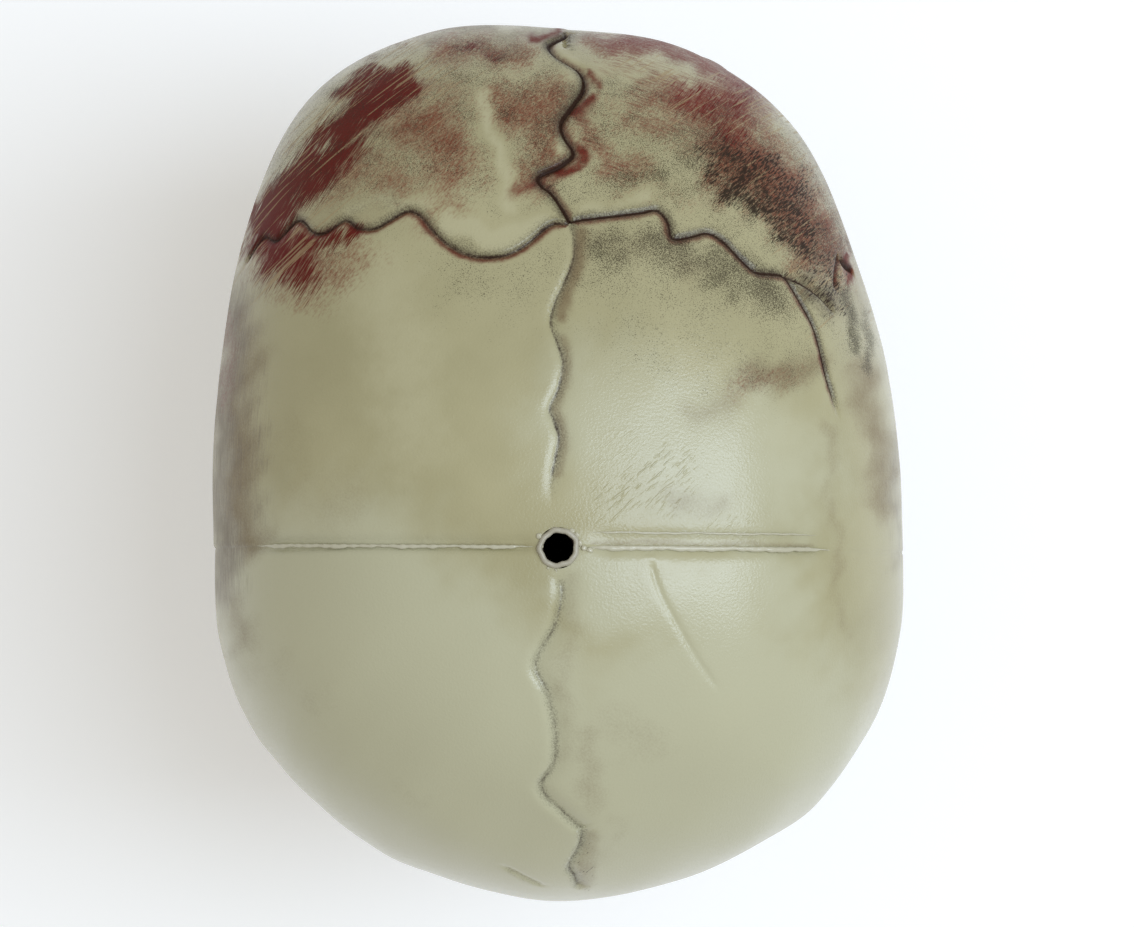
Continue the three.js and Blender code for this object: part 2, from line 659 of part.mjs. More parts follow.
// The jaw's body: a tall section swept round the chin. Its foot follows one line and its tooth ridge another.
function jawBody() {
  const bothSides = (shares) => {
    const half = shares.map(([across, ahead]) => place([across, ahead, 0]));
    const others = half.slice(0, -1).reverse().map((p) => new THREE.Vector3(-p.x, p.y, p.z));
    return new THREE.CatmullRomCurve3([...half, ...others]);
  };
  const foot = bothSides(JAW_BODY.footShares);
  const ridge = bothSides(JAW_BODY.ridgeShares);
  const ridgeHeight = BITE - BITE_GAP - TOOTH_HEIGHT + TOOTH_SINK;
  const rings = [];
  for (let i = 0; i <= JAW_BODY.stations; i += 1) {
    const t = i / JAW_BODY.stations;
    const tangent = foot.getTangent(t).add(ridge.getTangent(t));
    const out = new THREE.Vector3(tangent.y, -tangent.x, 0).normalize();
    const drop = JAW_BODY.backDropShare * Math.abs(Math.cos(Math.PI * t)) ** JAW_BODY.dropSharpness;
    const fromEnd = THREE.MathUtils.smoothstep(Math.min(t, 1 - t), 0, JAW_BODY.widenShare);
    const narrowing = THREE.MathUtils.lerp(JAW_BODY.backWidthShare, 1, fromEnd);
    rings.push(
      JAW_SECTION_SHARES.map(([side, up]) => {
        const point = new THREE.Vector3().lerpVectors(foot.getPoint(t), ridge.getPoint(t), up);
        const width = narrowing * THREE.MathUtils.lerp(JAW_BODY.footWidth, JAW_BODY.ridgeWidth, up);
        point.addScaledVector(out, side * width);
        point.z = up * ridgeHeight * (1 - drop);
        return point;
      }),
    );
  }
  return loft(rings);
}

// One upright plate of the jaw, with its angle, neck, notch and front point.
function ramus() {
  const flat = ([ahead, up]) => [-ahead * FRONT_LENGTH, up * HEIGHT];
  const outline = new THREE.Shape();
  outline.moveTo(...flat(RAMUS.startShares));
  for (const [towards, end] of RAMUS.curveShares) outline.quadraticCurveTo(...flat(towards), ...flat(end));
  const plate = new THREE.ExtrudeGeometry(outline, {
    depth: RAMUS.thickness - 2 * RAMUS.bevel,
    bevelThickness: RAMUS.bevel,
    bevelSize: RAMUS.bevel,
    bevelSegments: 1,
    curveSegments: RAMUS.curvePoints,
  });
  const upright = new THREE.Matrix4().makeBasis(
    new THREE.Vector3(0, 1, 0),
    new THREE.Vector3(0, 0, 1),
    new THREE.Vector3(1, 0, 0),
  );
  plate.translate(0, 0, PLATE_INNER + RAMUS.bevel).applyMatrix4(upright);
  return solidOf(plate);
}

function lowerJaw() {
  const plate = ramus().add(crossBar(RAMUS.hubRadius, HUB_INNER, HUB_OUTER, HINGE));
  const chin = new THREE.SphereGeometry(1, CHIN.sides, CHIN.sides / 2).rotateX(Math.PI / 2);
  const chinPlace = place(CHIN.centreShares);
  const chinSolid = solidOf(chin.scale(...CHIN.radii).translate(chinPlace.x, chinPlace.y, chinPlace.z));
  const bore = SCREW.shankRadius + SCREW_CLEARANCE;
  const hole = crossBar(bore, HUB_INNER - CUT_OVERRUN, HUB_OUTER + CUT_OVERRUN, HINGE);
  const table = new THREE.BoxGeometry(2 * BREADTH, 2 * BREADTH, HEIGHT).translate(0, 0, -HEIGHT / 2);
  const lowerTeeth = teeth(BITE - BITE_GAP, -1, LOWER_ARCH_SHARE);
  return unite(jawBody(), plate, mirrored(plate), chinSolid, ...lowerTeeth)
    .subtract(hole)
    .subtract(mirrored(hole))
    .subtract(solidOf(table));
}

// A pan-head screw along +Y from its tip, with a cross recess in the head.
function screw() {
  const shank = HEAD_FACE - SHANK_END;
  const { shankRadius, headRadius, headHeight, slotWidth, slotLength, slotDepth } = SCREW;
  const top = shank + headHeight;
  const profile = [
    [0, 0],
    [shankRadius, shankRadius],
    [shankRadius, shank],
    [headRadius, shank],
    [headRadius, shank + headHeight / 2],
    [headRadius - headHeight / 2, top],
    [0, top],
  ];
  const body = latheAlong(profile, ROUND_SIDES);
  const slot = new THREE.BoxGeometry(slotWidth, 2 * slotDepth, slotLength).translate(0, top, 0);
  const recess = solidOf(slot).add(solidOf(slot.clone().rotateY(Math.PI / 2)));
  return geometryOf(solidOf(body).subtract(recess));
}

// The model

const bone = new THREE.MeshStandardMaterial({ color: 0xb4ae8c, roughness: 0.42, metalness: 0 });
const jawBone = new THREE.MeshStandardMaterial({ color: 0xaea786, roughness: 0.45, metalness: 0 });
const barePlastic = new THREE.MeshStandardMaterial({ color: 0xc9c2b2, roughness: 0.5, metalness: 0 });
const nylon = new THREE.MeshStandardMaterial({ color: 0xd8d4c8, roughness: 0.55, metalness: 0 });
const steel = new THREE.MeshStandardMaterial({ color: 0xb0b0ac, roughness: 0.35, metalness: 1 });

function piece(name, geometry, material) {
  const mesh = new THREE.Mesh(geometry, material);
  mesh.name = name;
  return mesh;
}

// The hardware of one side, placed along the hinge axis. Turned half round, it serves the other side.
function hingeHardware(side) {
  const group = new THREE.Group();
  const along = (name, geometry, material, from) => {
    const mesh = piece(`${name}_${side}`, geometry, material);
    mesh.rotation.z = -Math.PI / 2;
    mesh.position.x = from;
    group.add(mesh);
  };
  const bore = SCREW.shankRadius + SCREW_CLEARANCE;
  along("jaw_spacer", ring(bore, SPACER.radius, SPACER.thickness), nylon, BOSS_FACE + PIECE_GAP);
  along("jaw_washer", ring(bore, WASHER.radius, WASHER.thickness), steel, WASHER_FACE);
  along("jaw_screw", screw(), steel, SHANK_END);
  group.position.copy(HINGE);
  if (side === "right") group.rotation.z = Math.PI;
  return group;
}

const skull = new THREE.Group();
skull.name = "skull_decoration";
skull.add(
  piece("face_shell", geometryOf(faceShell()), bone),
  piece("rear_shell", geometryOf(rearShell()), bone),
  piece("crown_bush", crownBush(), barePlastic),
  piece("lower_jaw", geometryOf(lowerJaw()), jawBone),
  hingeHardware("left"),
  hingeHardware("right"),
);

skull.position.y = (NOSE.tipShares[1] * FRONT_LENGTH + NOSE.tipRadius - BACK_LENGTH) / 2;

export default skull;
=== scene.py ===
"""A life-size moulded plastic skull with a hinged jaw, dressed for a photograph taken from straight above.

Shapes are worked out in millimetres with the shell seam at y = 0, and moved into the frame, in metres, at
the end.
"""

import logging
import math
from collections.abc import Callable, Sequence
from dataclasses import dataclass, field
from enum import Enum

import bmesh
import bpy
import numpy as np
from mathutils import Matrix, Vector
from mathutils.kdtree import KDTree


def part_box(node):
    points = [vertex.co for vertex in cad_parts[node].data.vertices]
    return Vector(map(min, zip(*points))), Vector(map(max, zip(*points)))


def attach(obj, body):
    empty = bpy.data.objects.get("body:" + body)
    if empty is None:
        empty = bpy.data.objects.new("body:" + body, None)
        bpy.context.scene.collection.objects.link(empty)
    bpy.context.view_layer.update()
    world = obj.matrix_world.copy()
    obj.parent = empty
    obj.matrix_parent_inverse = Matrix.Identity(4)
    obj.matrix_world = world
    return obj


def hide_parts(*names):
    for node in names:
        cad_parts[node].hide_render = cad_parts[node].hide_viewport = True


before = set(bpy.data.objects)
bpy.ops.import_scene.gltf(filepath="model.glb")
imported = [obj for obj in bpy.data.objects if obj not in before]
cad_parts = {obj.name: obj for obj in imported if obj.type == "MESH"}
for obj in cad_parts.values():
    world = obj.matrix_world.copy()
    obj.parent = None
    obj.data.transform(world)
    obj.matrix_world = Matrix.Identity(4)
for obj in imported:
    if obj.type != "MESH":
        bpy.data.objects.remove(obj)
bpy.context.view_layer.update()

log = logging.getLogger("skull")
Array = np.ndarray
Field = Callable[[Array], Array]
Pixel = tuple[float, float]
Shares = tuple[float, float, float]
Piece = bpy.types.Object
Tree = bpy.types.NodeTree
NodeSocket = bpy.types.NodeSocket

MM = 0.001
PHOTO_WIDTH = 1134
PHOTO_HEIGHT = 927
SEAM_SHIFT = (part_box("crown_bush")[0].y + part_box("crown_bush")[1].y) / 2 / MM
TINY = 1e-6
FAR = 1e4
SHARP_ANGLE = math.radians(48)


# Places and simple forms


@dataclass(frozen=True)
class Overall:
    """Driving sizes of the whole skull, in millimetres."""

    half_breadth: float = 75.0
    front: float = 113.0
    back: float = 76.0
    height: float = 217.0

    def place(self, shares: Shares) -> Array:
        """A place from its shares of the half breadth, the front length (forwards) and the height."""
        across, ahead, up = shares
        return np.array([across * self.half_breadth, -ahead * self.front, up * self.height])


OVERALL = Overall()


@dataclass(frozen=True)
class Lump:
    """An ellipsoid at a place on the skull, by its three half axes in millimetres."""

    place: Shares
    radii: tuple[float, float, float]

    def form(self, p: Array) -> Array:
        """Distance to the lump, negative inside.

        Args:
            p: Points, one a row.

        Returns:
            One distance for each point.
        """
        offset = (p - OVERALL.place(self.place)) / np.asarray(self.radii)
        near = np.sqrt((offset**2).sum(1))
        slope = np.sqrt(((offset / np.asarray(self.radii)) ** 2).sum(1))
        return near * (near - 1) / np.maximum(slope, TINY)


def bar(p: Array, a: Array, b: Array, radius_a: float, radius_b: float) -> Array:
    """Distance to a round bar between two places that tapers from one radius to the other.

    Args:
        p: Points, one a row.
        a: One end.
        b: The other end.
        radius_a: Radius at the first end.
        radius_b: Radius at the second end.

    Returns:
        One distance for each point.
    """
    along = b - a
    t = np.clip((p - a) @ along / (along @ along), 0, 1)
    gap = p - a - t[:, None] * along
    return np.sqrt((gap**2).sum(1)) - (radius_a + (radius_b - radius_a) * t)


def rounded_box(p: Array, low: Array, high: Array, rounding: float) -> Array:
    """Distance to a box with rounded edges.

    Args:
        p: Points, one a row.
        low: Lowest corner.
        high: Highest corner.
        rounding: Radius of the edges.

    Returns:
        One distance for each point.
    """
    over = np.maximum(low - p, p - high) + rounding
    outside = np.sqrt((np.maximum(over, 0) ** 2).sum(1))
    return outside + np.minimum(over.max(1), 0) - rounding


def rounded_edge(a: Array, b: Array, rounding: float) -> Array:
    """Distance to what two forms have in common, with the edge between them rounded.

    Args:
        a: Distance to one form.
        b: Distance to the other.
        rounding: Radius of the edge.

    Returns:
        One distance for each point.
    """
    over_a, over_b = a + rounding, b + rounding
    outside = np.hypot(np.maximum(over_a, 0), np.maximum(over_b, 0))
    return outside + np.minimum(np.maximum(over_a, over_b), 0) - rounding


def blend(a: Array, b: Array, softness: float) -> Array:
    """The union of two forms, filleted by a softness."""
    h = np.maximum(softness - np.abs(a - b), 0) / softness
    return np.minimum(a, b) - h * h * softness / 4


def carve(a: Array, tool: Array, softness: float) -> Array:
    """One form with another taken out of it, with the edge rounded by a softness."""
    return -blend(-a, tool, softness)


def smoothstep(low: float, high: float, value: Array) -> Array:
    """A smooth ramp from 0 at one value to 1 at another."""
    t = np.clip((value - low) / (high - low), 0, 1)
    return t * t * (3 - 2 * t)


def unit(rows: Array) -> Array:
    """Directions, one a row, at length one."""
    return rows / np.maximum(np.linalg.norm(rows, axis=1), TINY)[:, None]


def left_side(p: Array) -> Array:
    """Points with those of the right side mirrored to the left."""
    q = p.copy()
    q[:, 0] = np.abs(q[:, 0])
    return q


def spline(a: Array, b: Array, c: Array, d: Array, t: Array) -> Array:
    """A smooth step at a share t of the way from b to c, coming from a and going on to d."""
    return b + t / 2 * (c - a + t * (2 * a - 5 * b + 4 * c - d + t * (3 * (b - c) + d - a)))


def closed_curve(shares: Sequence[float], turn: Array) -> Array:
    """A smooth closed curve through evenly spaced values.

    Args:
        shares: The values around the curve.
        turn: Where to read it, in turns.

    Returns:
        The curve's value at each place.
    """
    ring = np.asarray(shares)
    step = (turn % 1) * len(ring)
    i = np.floor(step).astype(int)
    a, b, c, d = (ring[(i + k) % len(ring)] for k in (-1, 0, 1, 2))
    return spline(a, b, c, d, step - i)


def open_curve(points: Array, spacing: float) -> Array:
    """A smooth open curve through points.

    Args:
        points: The points that it passes through, one a row.
        spacing: The distance between the points that are returned.

    Returns:
        Points along the curve, one a row.
    """
    ends = np.vstack([2 * points[0] - points[1], points, 2 * points[-1] - points[-2]])
    rows = []
    for a, b, c, d in zip(ends, ends[1:], ends[2:], ends[3:]):
        count = max(2, int(np.linalg.norm(c - b) / spacing) + 1)
        rows.append(spline(a, b, c, d, np.arange(count)[:, None] / count))
    rows.append(points[-1:])
    return np.vstack(rows)


def gone_along(line: Array) -> Array:
    """How far each point of a line lies from its start, along the line."""
    return np.concatenate([[0], np.cumsum(np.linalg.norm(np.diff(line, axis=0), axis=1))])


def off_line(at: Array, line: Array) -> Array:
    """Distance from points in a plane to a line through knots.

    Args:
        at: The points, one a row.
        line: The knots, one a row.

    Returns:
        One distance for each point.
    """
    d = np.full(len(at), FAR)
    for a, b in zip(line, line[1:]):
        t = np.clip((at - a) @ (b - a) / ((b - a) @ (b - a)), 0, 1)
        d = np.minimum(d, np.hypot(*(at - a - t[:, None] * (b - a)).T))
    return d


def slope_of(form: Field, p: Array, step: float = 0.05) -> Array:
    """The outward direction of a form at points.

    Args:
        form: The form.
        p: Points, one a row.
        step: How far apart the form is read.

    Returns:
        The form's gradient at each point.
    """
    here = form(p)
    rows = [(form(p + np.eye(3)[axis] * step) - here) / step for axis in range(3)]
    return np.stack(rows, 1)


def settle(form: Field, p: Array, level: float, rounds: int = 3) -> Array:
    """Moves points onto a level of a form.

    Args:
        form: The form.
        p: Points near it, one a row.
        level: The level to reach.
        rounds: How often each point is moved.

    Returns:
        The moved points.
    """
    for _ in range(rounds):
        slope = slope_of(form, p)
        miss = (form(p) - level) / np.maximum((slope**2).sum(1), 0.1)
        p = p - np.clip(miss, -1, 1)[:, None] * slope
    return p


# Surfaces from forms


CORNERS = np.argwhere(np.ones((2, 2, 2)))


@dataclass(frozen=True)
class Net:
    """Wraps a form in a net of quads, one for each small cube that the surface crosses."""

    step: float
    coarse: int = 4
    margin: float = 9.0
    chunk: int = 200_000

    def wrap(self, form: Field, low: Array, high: Array, level: float) -> tuple[Array, Array]:
        """Makes the net.

        Args:
            form: The form to wrap.
            low: Lowest corner of the space that holds it.
            high: Highest corner.
            level: The level of the form that the net follows.

        Returns:
            The net's points, and its quads as rows of four point numbers.
        """
        cells = self.coarse * np.ceil((high - low) / self.step / self.coarse).astype(int)
        values = self._values(form, low, cells) - level
        inside = values < 0
        filled = sum(inside[self._window(corner, cells)].astype(np.int8) for corner in CORNERS)
        active = (filled > 0) & (filled < 8)
        number = np.full(active.shape, -1)
        number[active] = np.arange(active.sum())
        at = np.argwhere(active)
        total = np.zeros(at.shape)
        hits = np.zeros(len(at))
        for corner in CORNERS:
            for axis in range(3):
                if corner[axis]:
                    continue
                onward = np.eye(3, dtype=int)[axis]
                a = values[tuple((at + corner).T)]
                b = values[tuple((at + corner + onward).T)]
                cross = (a < 0) != (b < 0)
                t = a[cross] / (a[cross] - b[cross])
                total[cross] += corner + t[:, None] * onward
                hits[cross] += 1
        points = low + self.step * (at + total / hits[:, None])
        return points, self._quads(inside, number)

    def _window(self, corner: Array, cells: Array) -> tuple[slice, ...]:
        """The slices that pick one corner of every cube."""
        return tuple(slice(c, c + n) for c, n in zip(corner, cells))

    def _values(self, form: Field, low: Array, cells: Array) -> Array:
        """Reads a form on a grid, finely near its surface and coarsely elsewhere.

        Args:
            form: The form.
            low: Lowest corner of the grid.
            cells: Number of cubes along each axis.

        Returns:
            A value for each corner of the grid.
        """
        blocks = cells // self.coarse
        coarse_at = np.argwhere(np.ones(blocks + 1, bool))
        coarse = form(low + coarse_at * self.step * self.coarse).reshape(blocks + 1)
        near = np.zeros(blocks, bool)
        for corner in CORNERS:
            near |= np.abs(coarse[self._window(corner, blocks)]) < self.margin
        wanted = np.zeros(cells + 1, bool)
        for corner in CORNERS:
            wanted[self._window(corner, cells)] |= self._spread(near)
        values = self._spread(coarse)[: cells[0] + 1, : cells[1] + 1, : cells[2] + 1].copy()
        at = np.argwhere(wanted)
        for start in range(0, len(at), self.chunk):
            part = at[start : start + self.chunk]
            values[tuple(part.T)] = form(low + part * self.step)
        return values

    def _spread(self, blocks: Array) -> Array:
        """Block values given to each of a block's own cubes."""
        return blocks.repeat(self.coarse, 0).repeat(self.coarse, 1).repeat(self.coarse, 2)

    def _quads(self, inside: Array, number: Array) -> Array:
        """The quads between neighbouring cubes, wound so that they face out.

        Args:
            inside: Whether each grid corner is inside the form.
            number: Each cube's point number, or -1.

        Returns:
            Rows of four point numbers.
        """
        rows = []
        for axis in range(3):
            b, c = (axis + 1) % 3, (axis + 2) % 3
            count = inside.shape[axis]
            start = inside.take(range(count - 1), axis)
            end = inside.take(range(1, count), axis)
            at = np.argwhere(start != end)
            last = np.array(inside.shape) - 1
            at = at[(at[:, (b, c)] > 0).all(1) & (at[:, (b, c)] < last[[b, c]]).all(1)]
            unit_b, unit_c = np.eye(3, dtype=int)[b], np.eye(3, dtype=int)[c]
            around = [at, at - unit_b, at - unit_b - unit_c, at - unit_c]
            quad = np.stack([number[tuple(cell.T)] for cell in around], 1)
            leaving = start[tuple(at.T)]
            quad[~leaving] = quad[~leaving][:, ::-1]
            rows.append(quad)
        return np.vstack(rows)


def to_scene(points: Array) -> Array:
    """Points in the frame, in metres, from points in millimetres about the seam."""
    return (points + np.array([0, SEAM_SHIFT, 0])) * MM


def to_skull(points: Array) -> Array:
    """Points in millimetres about the seam, from points in the frame, in metres."""
    return points / MM - np.array([0, SEAM_SHIFT, 0])


def placed(name: str, data: bpy.types.ID) -> Piece:
    """A new object in the scene."""
    made = bpy.data.objects.new(name, data)
    bpy.context.scene.collection.objects.link(made)
    return made


def prototype(name: str, points: Array, faces: Sequence, edges: Sequence = ()) -> Piece:
    """A new object at the origin, from points as they are.

    Args:
        name: The object's name.
        points: Its points, one a row.
        faces: Faces as rows of point numbers.
        edges: Loose edges as pairs of point numbers.

    Returns:
        The object.
    """
    mesh = bpy.data.meshes.new(name)
    mesh.from_pydata(points.tolist(), list(edges), [list(map(int, face)) for face in faces])
    return placed(name, mesh)


def mesh_object(name: str, points: Array, faces: Sequence, edges: Sequence = ()) -> Piece:
    """A new object from points in millimetres about the seam."""
    return prototype(name, to_scene(points), faces, edges)


def keep(piece: Piece, name: str, values: Array, kind: str = "FLOAT") -> None:
    """Keeps values at an object's points as an attribute.

    Args:
        piece: The object.
        name: The attribute's name.
        values: A value or a row for each point.
        kind: The attribute's kind.
    """
    kept = piece.data.attributes.new(name, kind, "POINT")
    values = np.asarray(values, np.int32 if kind == "INT" else np.float32)
    kept.data.foreach_set("vector" if kind == "FLOAT_VECTOR" else "value", values.ravel())


def mesh_points(piece: Piece) -> Array:
    """An object's points, in millimetres about the seam."""
    flat = np.empty(len(piece.data.vertices) * 3)
    piece.data.vertices.foreach_get("co", flat)
    return to_skull(flat.reshape(-1, 3))


def set_points(piece: Piece, points: Array) -> None:
    """Moves an object's points to places in millimetres about the seam."""
    piece.data.vertices.foreach_set("co", to_scene(points).ravel())
    piece.data.update()


def discard(piece: Piece) -> None:
    """Removes an object and its mesh."""
    mesh = piece.data
    bpy.data.objects.remove(piece)
    bpy.data.meshes.remove(mesh)


def applied(piece: Piece) -> None:
    """Applies an object's modifiers to its mesh."""
    bpy.context.view_layer.update()
    result = bpy.data.meshes.new_from_object(piece.evaluated_get(bpy.context.evaluated_depsgraph_get()))
    old = piece.data
    piece.modifiers.clear()
    piece.data = result
    bpy.data.meshes.remove(old)
    result.name = piece.name


def cut(piece: Piece, tool: Piece) -> None:
    """Cuts a solid out of another, and removes it."""
    modifier = piece.modifiers.new("cut", "BOOLEAN")
    modifier.operation = "DIFFERENCE"
    modifier.solver = "MANIFOLD"
    modifier.object = tool
    applied(piece)
    discard(tool)


def round_bar(name: str, start: Array, end: Array, radius: float, sides: int = 48) -> Piece:
    """A plain round bar between two places.

    Args:
        name: The object's name.
        start: Middle of one end.
        end: Middle of the other end.
        radius: The bar's radius.
        sides: Flats around it.

    Returns:
        The bar.
    """
    along = Vector(end - start)
    turn = along.to_track_quat("Z", "Y").to_matrix()
    angles = 2 * np.pi * np.arange(sides) / sides
    ring = np.stack([np.cos(angles), np.sin(angles), 0 * angles], 1) * radius
    ring = ring @ np.array(turn).T
    points = np.vstack([start + ring, end + ring])
    faces = [[i, (i + 1) % sides, sides + (i + 1) % sides, sides + i] for i in range(sides)]
    faces += [list(range(sides))[::-1], list(range(sides, 2 * sides))]
    return mesh_object(name, points, faces)


BOX_FACES = ((0, 2, 3, 1), (4, 5, 7, 6), (0, 1, 5, 4), (2, 6, 7, 3), (0, 4, 6, 2), (1, 3, 7, 5))


def box_points(low: Array, high: Array) -> Array:
    """The corners of a box, in the order that its faces name them."""
    return low + CORNERS[:, ::-1] * (high - low)


def emptied(shape: bmesh.types.BMesh) -> tuple[Array, list[list[int]]]:
    """The points and faces of a working mesh, which is then freed."""
    points = np.array([vert.co[:] for vert in shape.verts])
    faces = [[vert.index for vert in face.verts] for face in shape.faces]
    shape.free()
    return points, faces


# The camera, and places taken from the photograph's pixels


@dataclass(frozen=True)
class PhotoCamera:
    """The photograph's viewpoint: above the seam, looking almost straight down, with the face at the top."""

    widest: float = 146.0
    distance: float = 700.0
    behind_seam: float = 5.0
    pixels_per_mm: float = 4.587
    crown: Pixel = (559.0, 550.5)
    roll: float = math.radians(0.42)
    clip_end: float = 20.0
    rounds: int = 80
    start_share: float = 0.8
    round_share: float = 0.7
    round_limits: tuple[float, float] = (-10.0, 30.0)

    @property
    def eye(self) -> Array:
        """The camera's place, in millimetres about the seam."""
        return np.array([0.0, self.behind_seam, self.widest + self.distance])

    @property
    def focal(self) -> float:
        """The focal length in pixels."""
        return self.pixels_per_mm * self.distance

    def axes(self) -> tuple[Array, Array, Array]:
        """The directions of the picture's right, its top, and the way back to the viewer."""
        across = (PHOTO_WIDTH / 2 - self.crown[0]) / self.pixels_per_mm
        ahead = (self.crown[1] - PHOTO_HEIGHT / 2) / self.pixels_per_mm
        target = np.array([-across, -ahead, self.widest])
        back = self.eye - target
        back /= np.linalg.norm(back)
        rough_up = np.array([math.sin(self.roll), -math.cos(self.roll), 0.0])
        right = np.cross(rough_up, back)
        right /= np.linalg.norm(right)
        return right, np.cross(back, right), back

    def pixels(self, points: Array) -> Array:
        """Where points show in the photograph's frame."""
        right, up, back = self.axes()
        offset = points - self.eye
        depth = -(offset @ back)
        x = PHOTO_WIDTH / 2 + self.focal * (offset @ right) / depth
        y = PHOTO_HEIGHT / 2 - self.focal * (offset @ up) / depth
        return np.stack([x, y], 1)

    def on_form(self, form: Field, pixels: Sequence[Pixel]) -> Array:
        """The places on a form that show at pixels.

        Args:
            form: The form.
            pixels: Pixels in the photograph's frame.

        Returns:
            Points in millimetres about the seam, one a row.
        """
        right, up, back = self.axes()
        at = np.asarray(pixels, float)
        x = (at[:, :1] - PHOTO_WIDTH / 2) / self.focal
        y = (PHOTO_HEIGHT / 2 - at[:, 1:]) / self.focal
        rays = unit(x * right + y * up - back)
        travel = np.full(len(at), self.distance * self.start_share)
        for _ in range(self.rounds):
            travel += self.round_share * np.clip(form(self.eye + travel[:, None] * rays), *self.round_limits)
        return self.eye + travel[:, None] * rays

    def build(self) -> None:
        """Adds the camera to the scene."""
        right, up, back = self.axes()
        data = bpy.data.cameras.new("photo_camera")
        data.sensor_fit = "HORIZONTAL"
        data.lens = data.sensor_width * self.focal / PHOTO_WIDTH
        data.clip_end = self.clip_end
        camera = placed("photo_camera", data)
        turn = Matrix([right, up, back]).transposed().to_4x4()
        camera.matrix_world = Matrix.Translation(to_scene(self.eye[None])[0]) @ turn
        bpy.context.scene.camera = camera


CAMERA = PhotoCamera()


# The braincase and face


@dataclass(frozen=True)
class Socket:
    """An eye socket: a rounded square opening that narrows to the back and inwards."""

    centre: Shares = (0.43, 0.88, 0.512)
    half_width: float = 19.0
    half_height: float = 17.2
    squareness: float = 2.6
    slope: float = 0.14
    depth: float = 40.0
    inward: float = 9.0
    depth_shares: tuple[float, ...] = (-0.8, 0.0, 0.4, 0.75, 1.0)
    size_shares: tuple[float, ...] = (1.14, 1.0, 0.93, 0.7, 0.34)

    def form(self, q: Array) -> Array:
        """Distance to the left socket's hollow."""
        centre = OVERALL.place(self.centre)
        t = (q[:, 1] - centre[1]) / self.depth
        size = np.interp(t, self.depth_shares, self.size_shares)
        x = (q[:, 0] - centre[0] + np.maximum(t, 0) * self.inward) / self.half_width
        z = (q[:, 2] - centre[2] + self.slope * (q[:, 0] - centre[0])) / self.half_height
        spread = (np.abs(x) ** self.squareness + np.abs(z) ** self.squareness) ** (1 / self.squareness)
        return np.maximum((spread - size) * self.half_height, (t - 1) * self.depth)


@dataclass(frozen=True)
class NoseOpening:
    """The pear-shaped nose opening, with a thin plate down its middle."""

    low: Lump = Lump((0.075, 0.92, 0.362), (7.4, 22.0, 9.0))
    top: Lump = Lump((0.0, 0.95, 0.42), (6.4, 22.0, 16.0))
    softness: float = 5.0
    plate_half: float = 1.3
    plate_front: float = 0.86
    plate_low: float = 0.325
    plate_high: float = 0.47
    plate_depth: float = 34.0

    def form(self, q: Array) -> Array:
        """Distance to the opening's hollow."""
        return blend(self.low.form(q), self.top.form(q), self.softness)

    def plate(self, q: Array) -> Array:
        """Distance to the thin plate in the middle."""
        low = OVERALL.place((0, self.plate_front, self.plate_low)) - [self.plate_half, 0, 0]
        high = OVERALL.place((0, self.plate_front, self.plate_high)) + [self.plate_half, self.plate_depth, 0]
        return rounded_box(q, low, high, self.plate_half)


@dataclass(frozen=True)
class DentalArch:
    """The line that a row of teeth stands on: a half ellipse with a short straight run at each end."""

    size: float = 1.0
    half_width: float = 0.393 * OVERALL.half_breadth
    depth: float = 0.363 * OVERALL.front
    straight: float = 0.071 * OVERALL.front
    centre: float = -0.531 * OVERALL.front

    def half_line(self, spacing: float = 0.5) -> Array:
        """The left half of the line, from the middle of the mouth back, as rows of x and y."""
        angle = np.linspace(0, np.pi / 2, 60)
        x = self.size * self.half_width * np.sin(angle)
        y = self.centre - self.size * self.depth * np.cos(angle)
        end = np.array([[self.size * self.half_width, self.centre + self.size * self.straight]])
        return open_curve(np.vstack([np.stack([x, y], 1), end]), spacing)

    def distance(self, q: Array) -> Array:
        """Signed distance across the line, negative inside the mouth."""
        back = q[:, 1] - self.centre
        x = q[:, 0]
        spread = np.hypot(x / (self.size * self.half_width), back / (self.size * self.depth))
        round_part = np.hypot(x, back) * (1 - 1 / np.maximum(spread, TINY))
        return np.where(back < 0, round_part, np.abs(x) - self.size * self.half_width)


class ToothKind(Enum):
    """The four shapes of tooth."""

    INCISOR = 0
    CANINE = 1
    PREMOLAR = 2
    MOLAR = 3


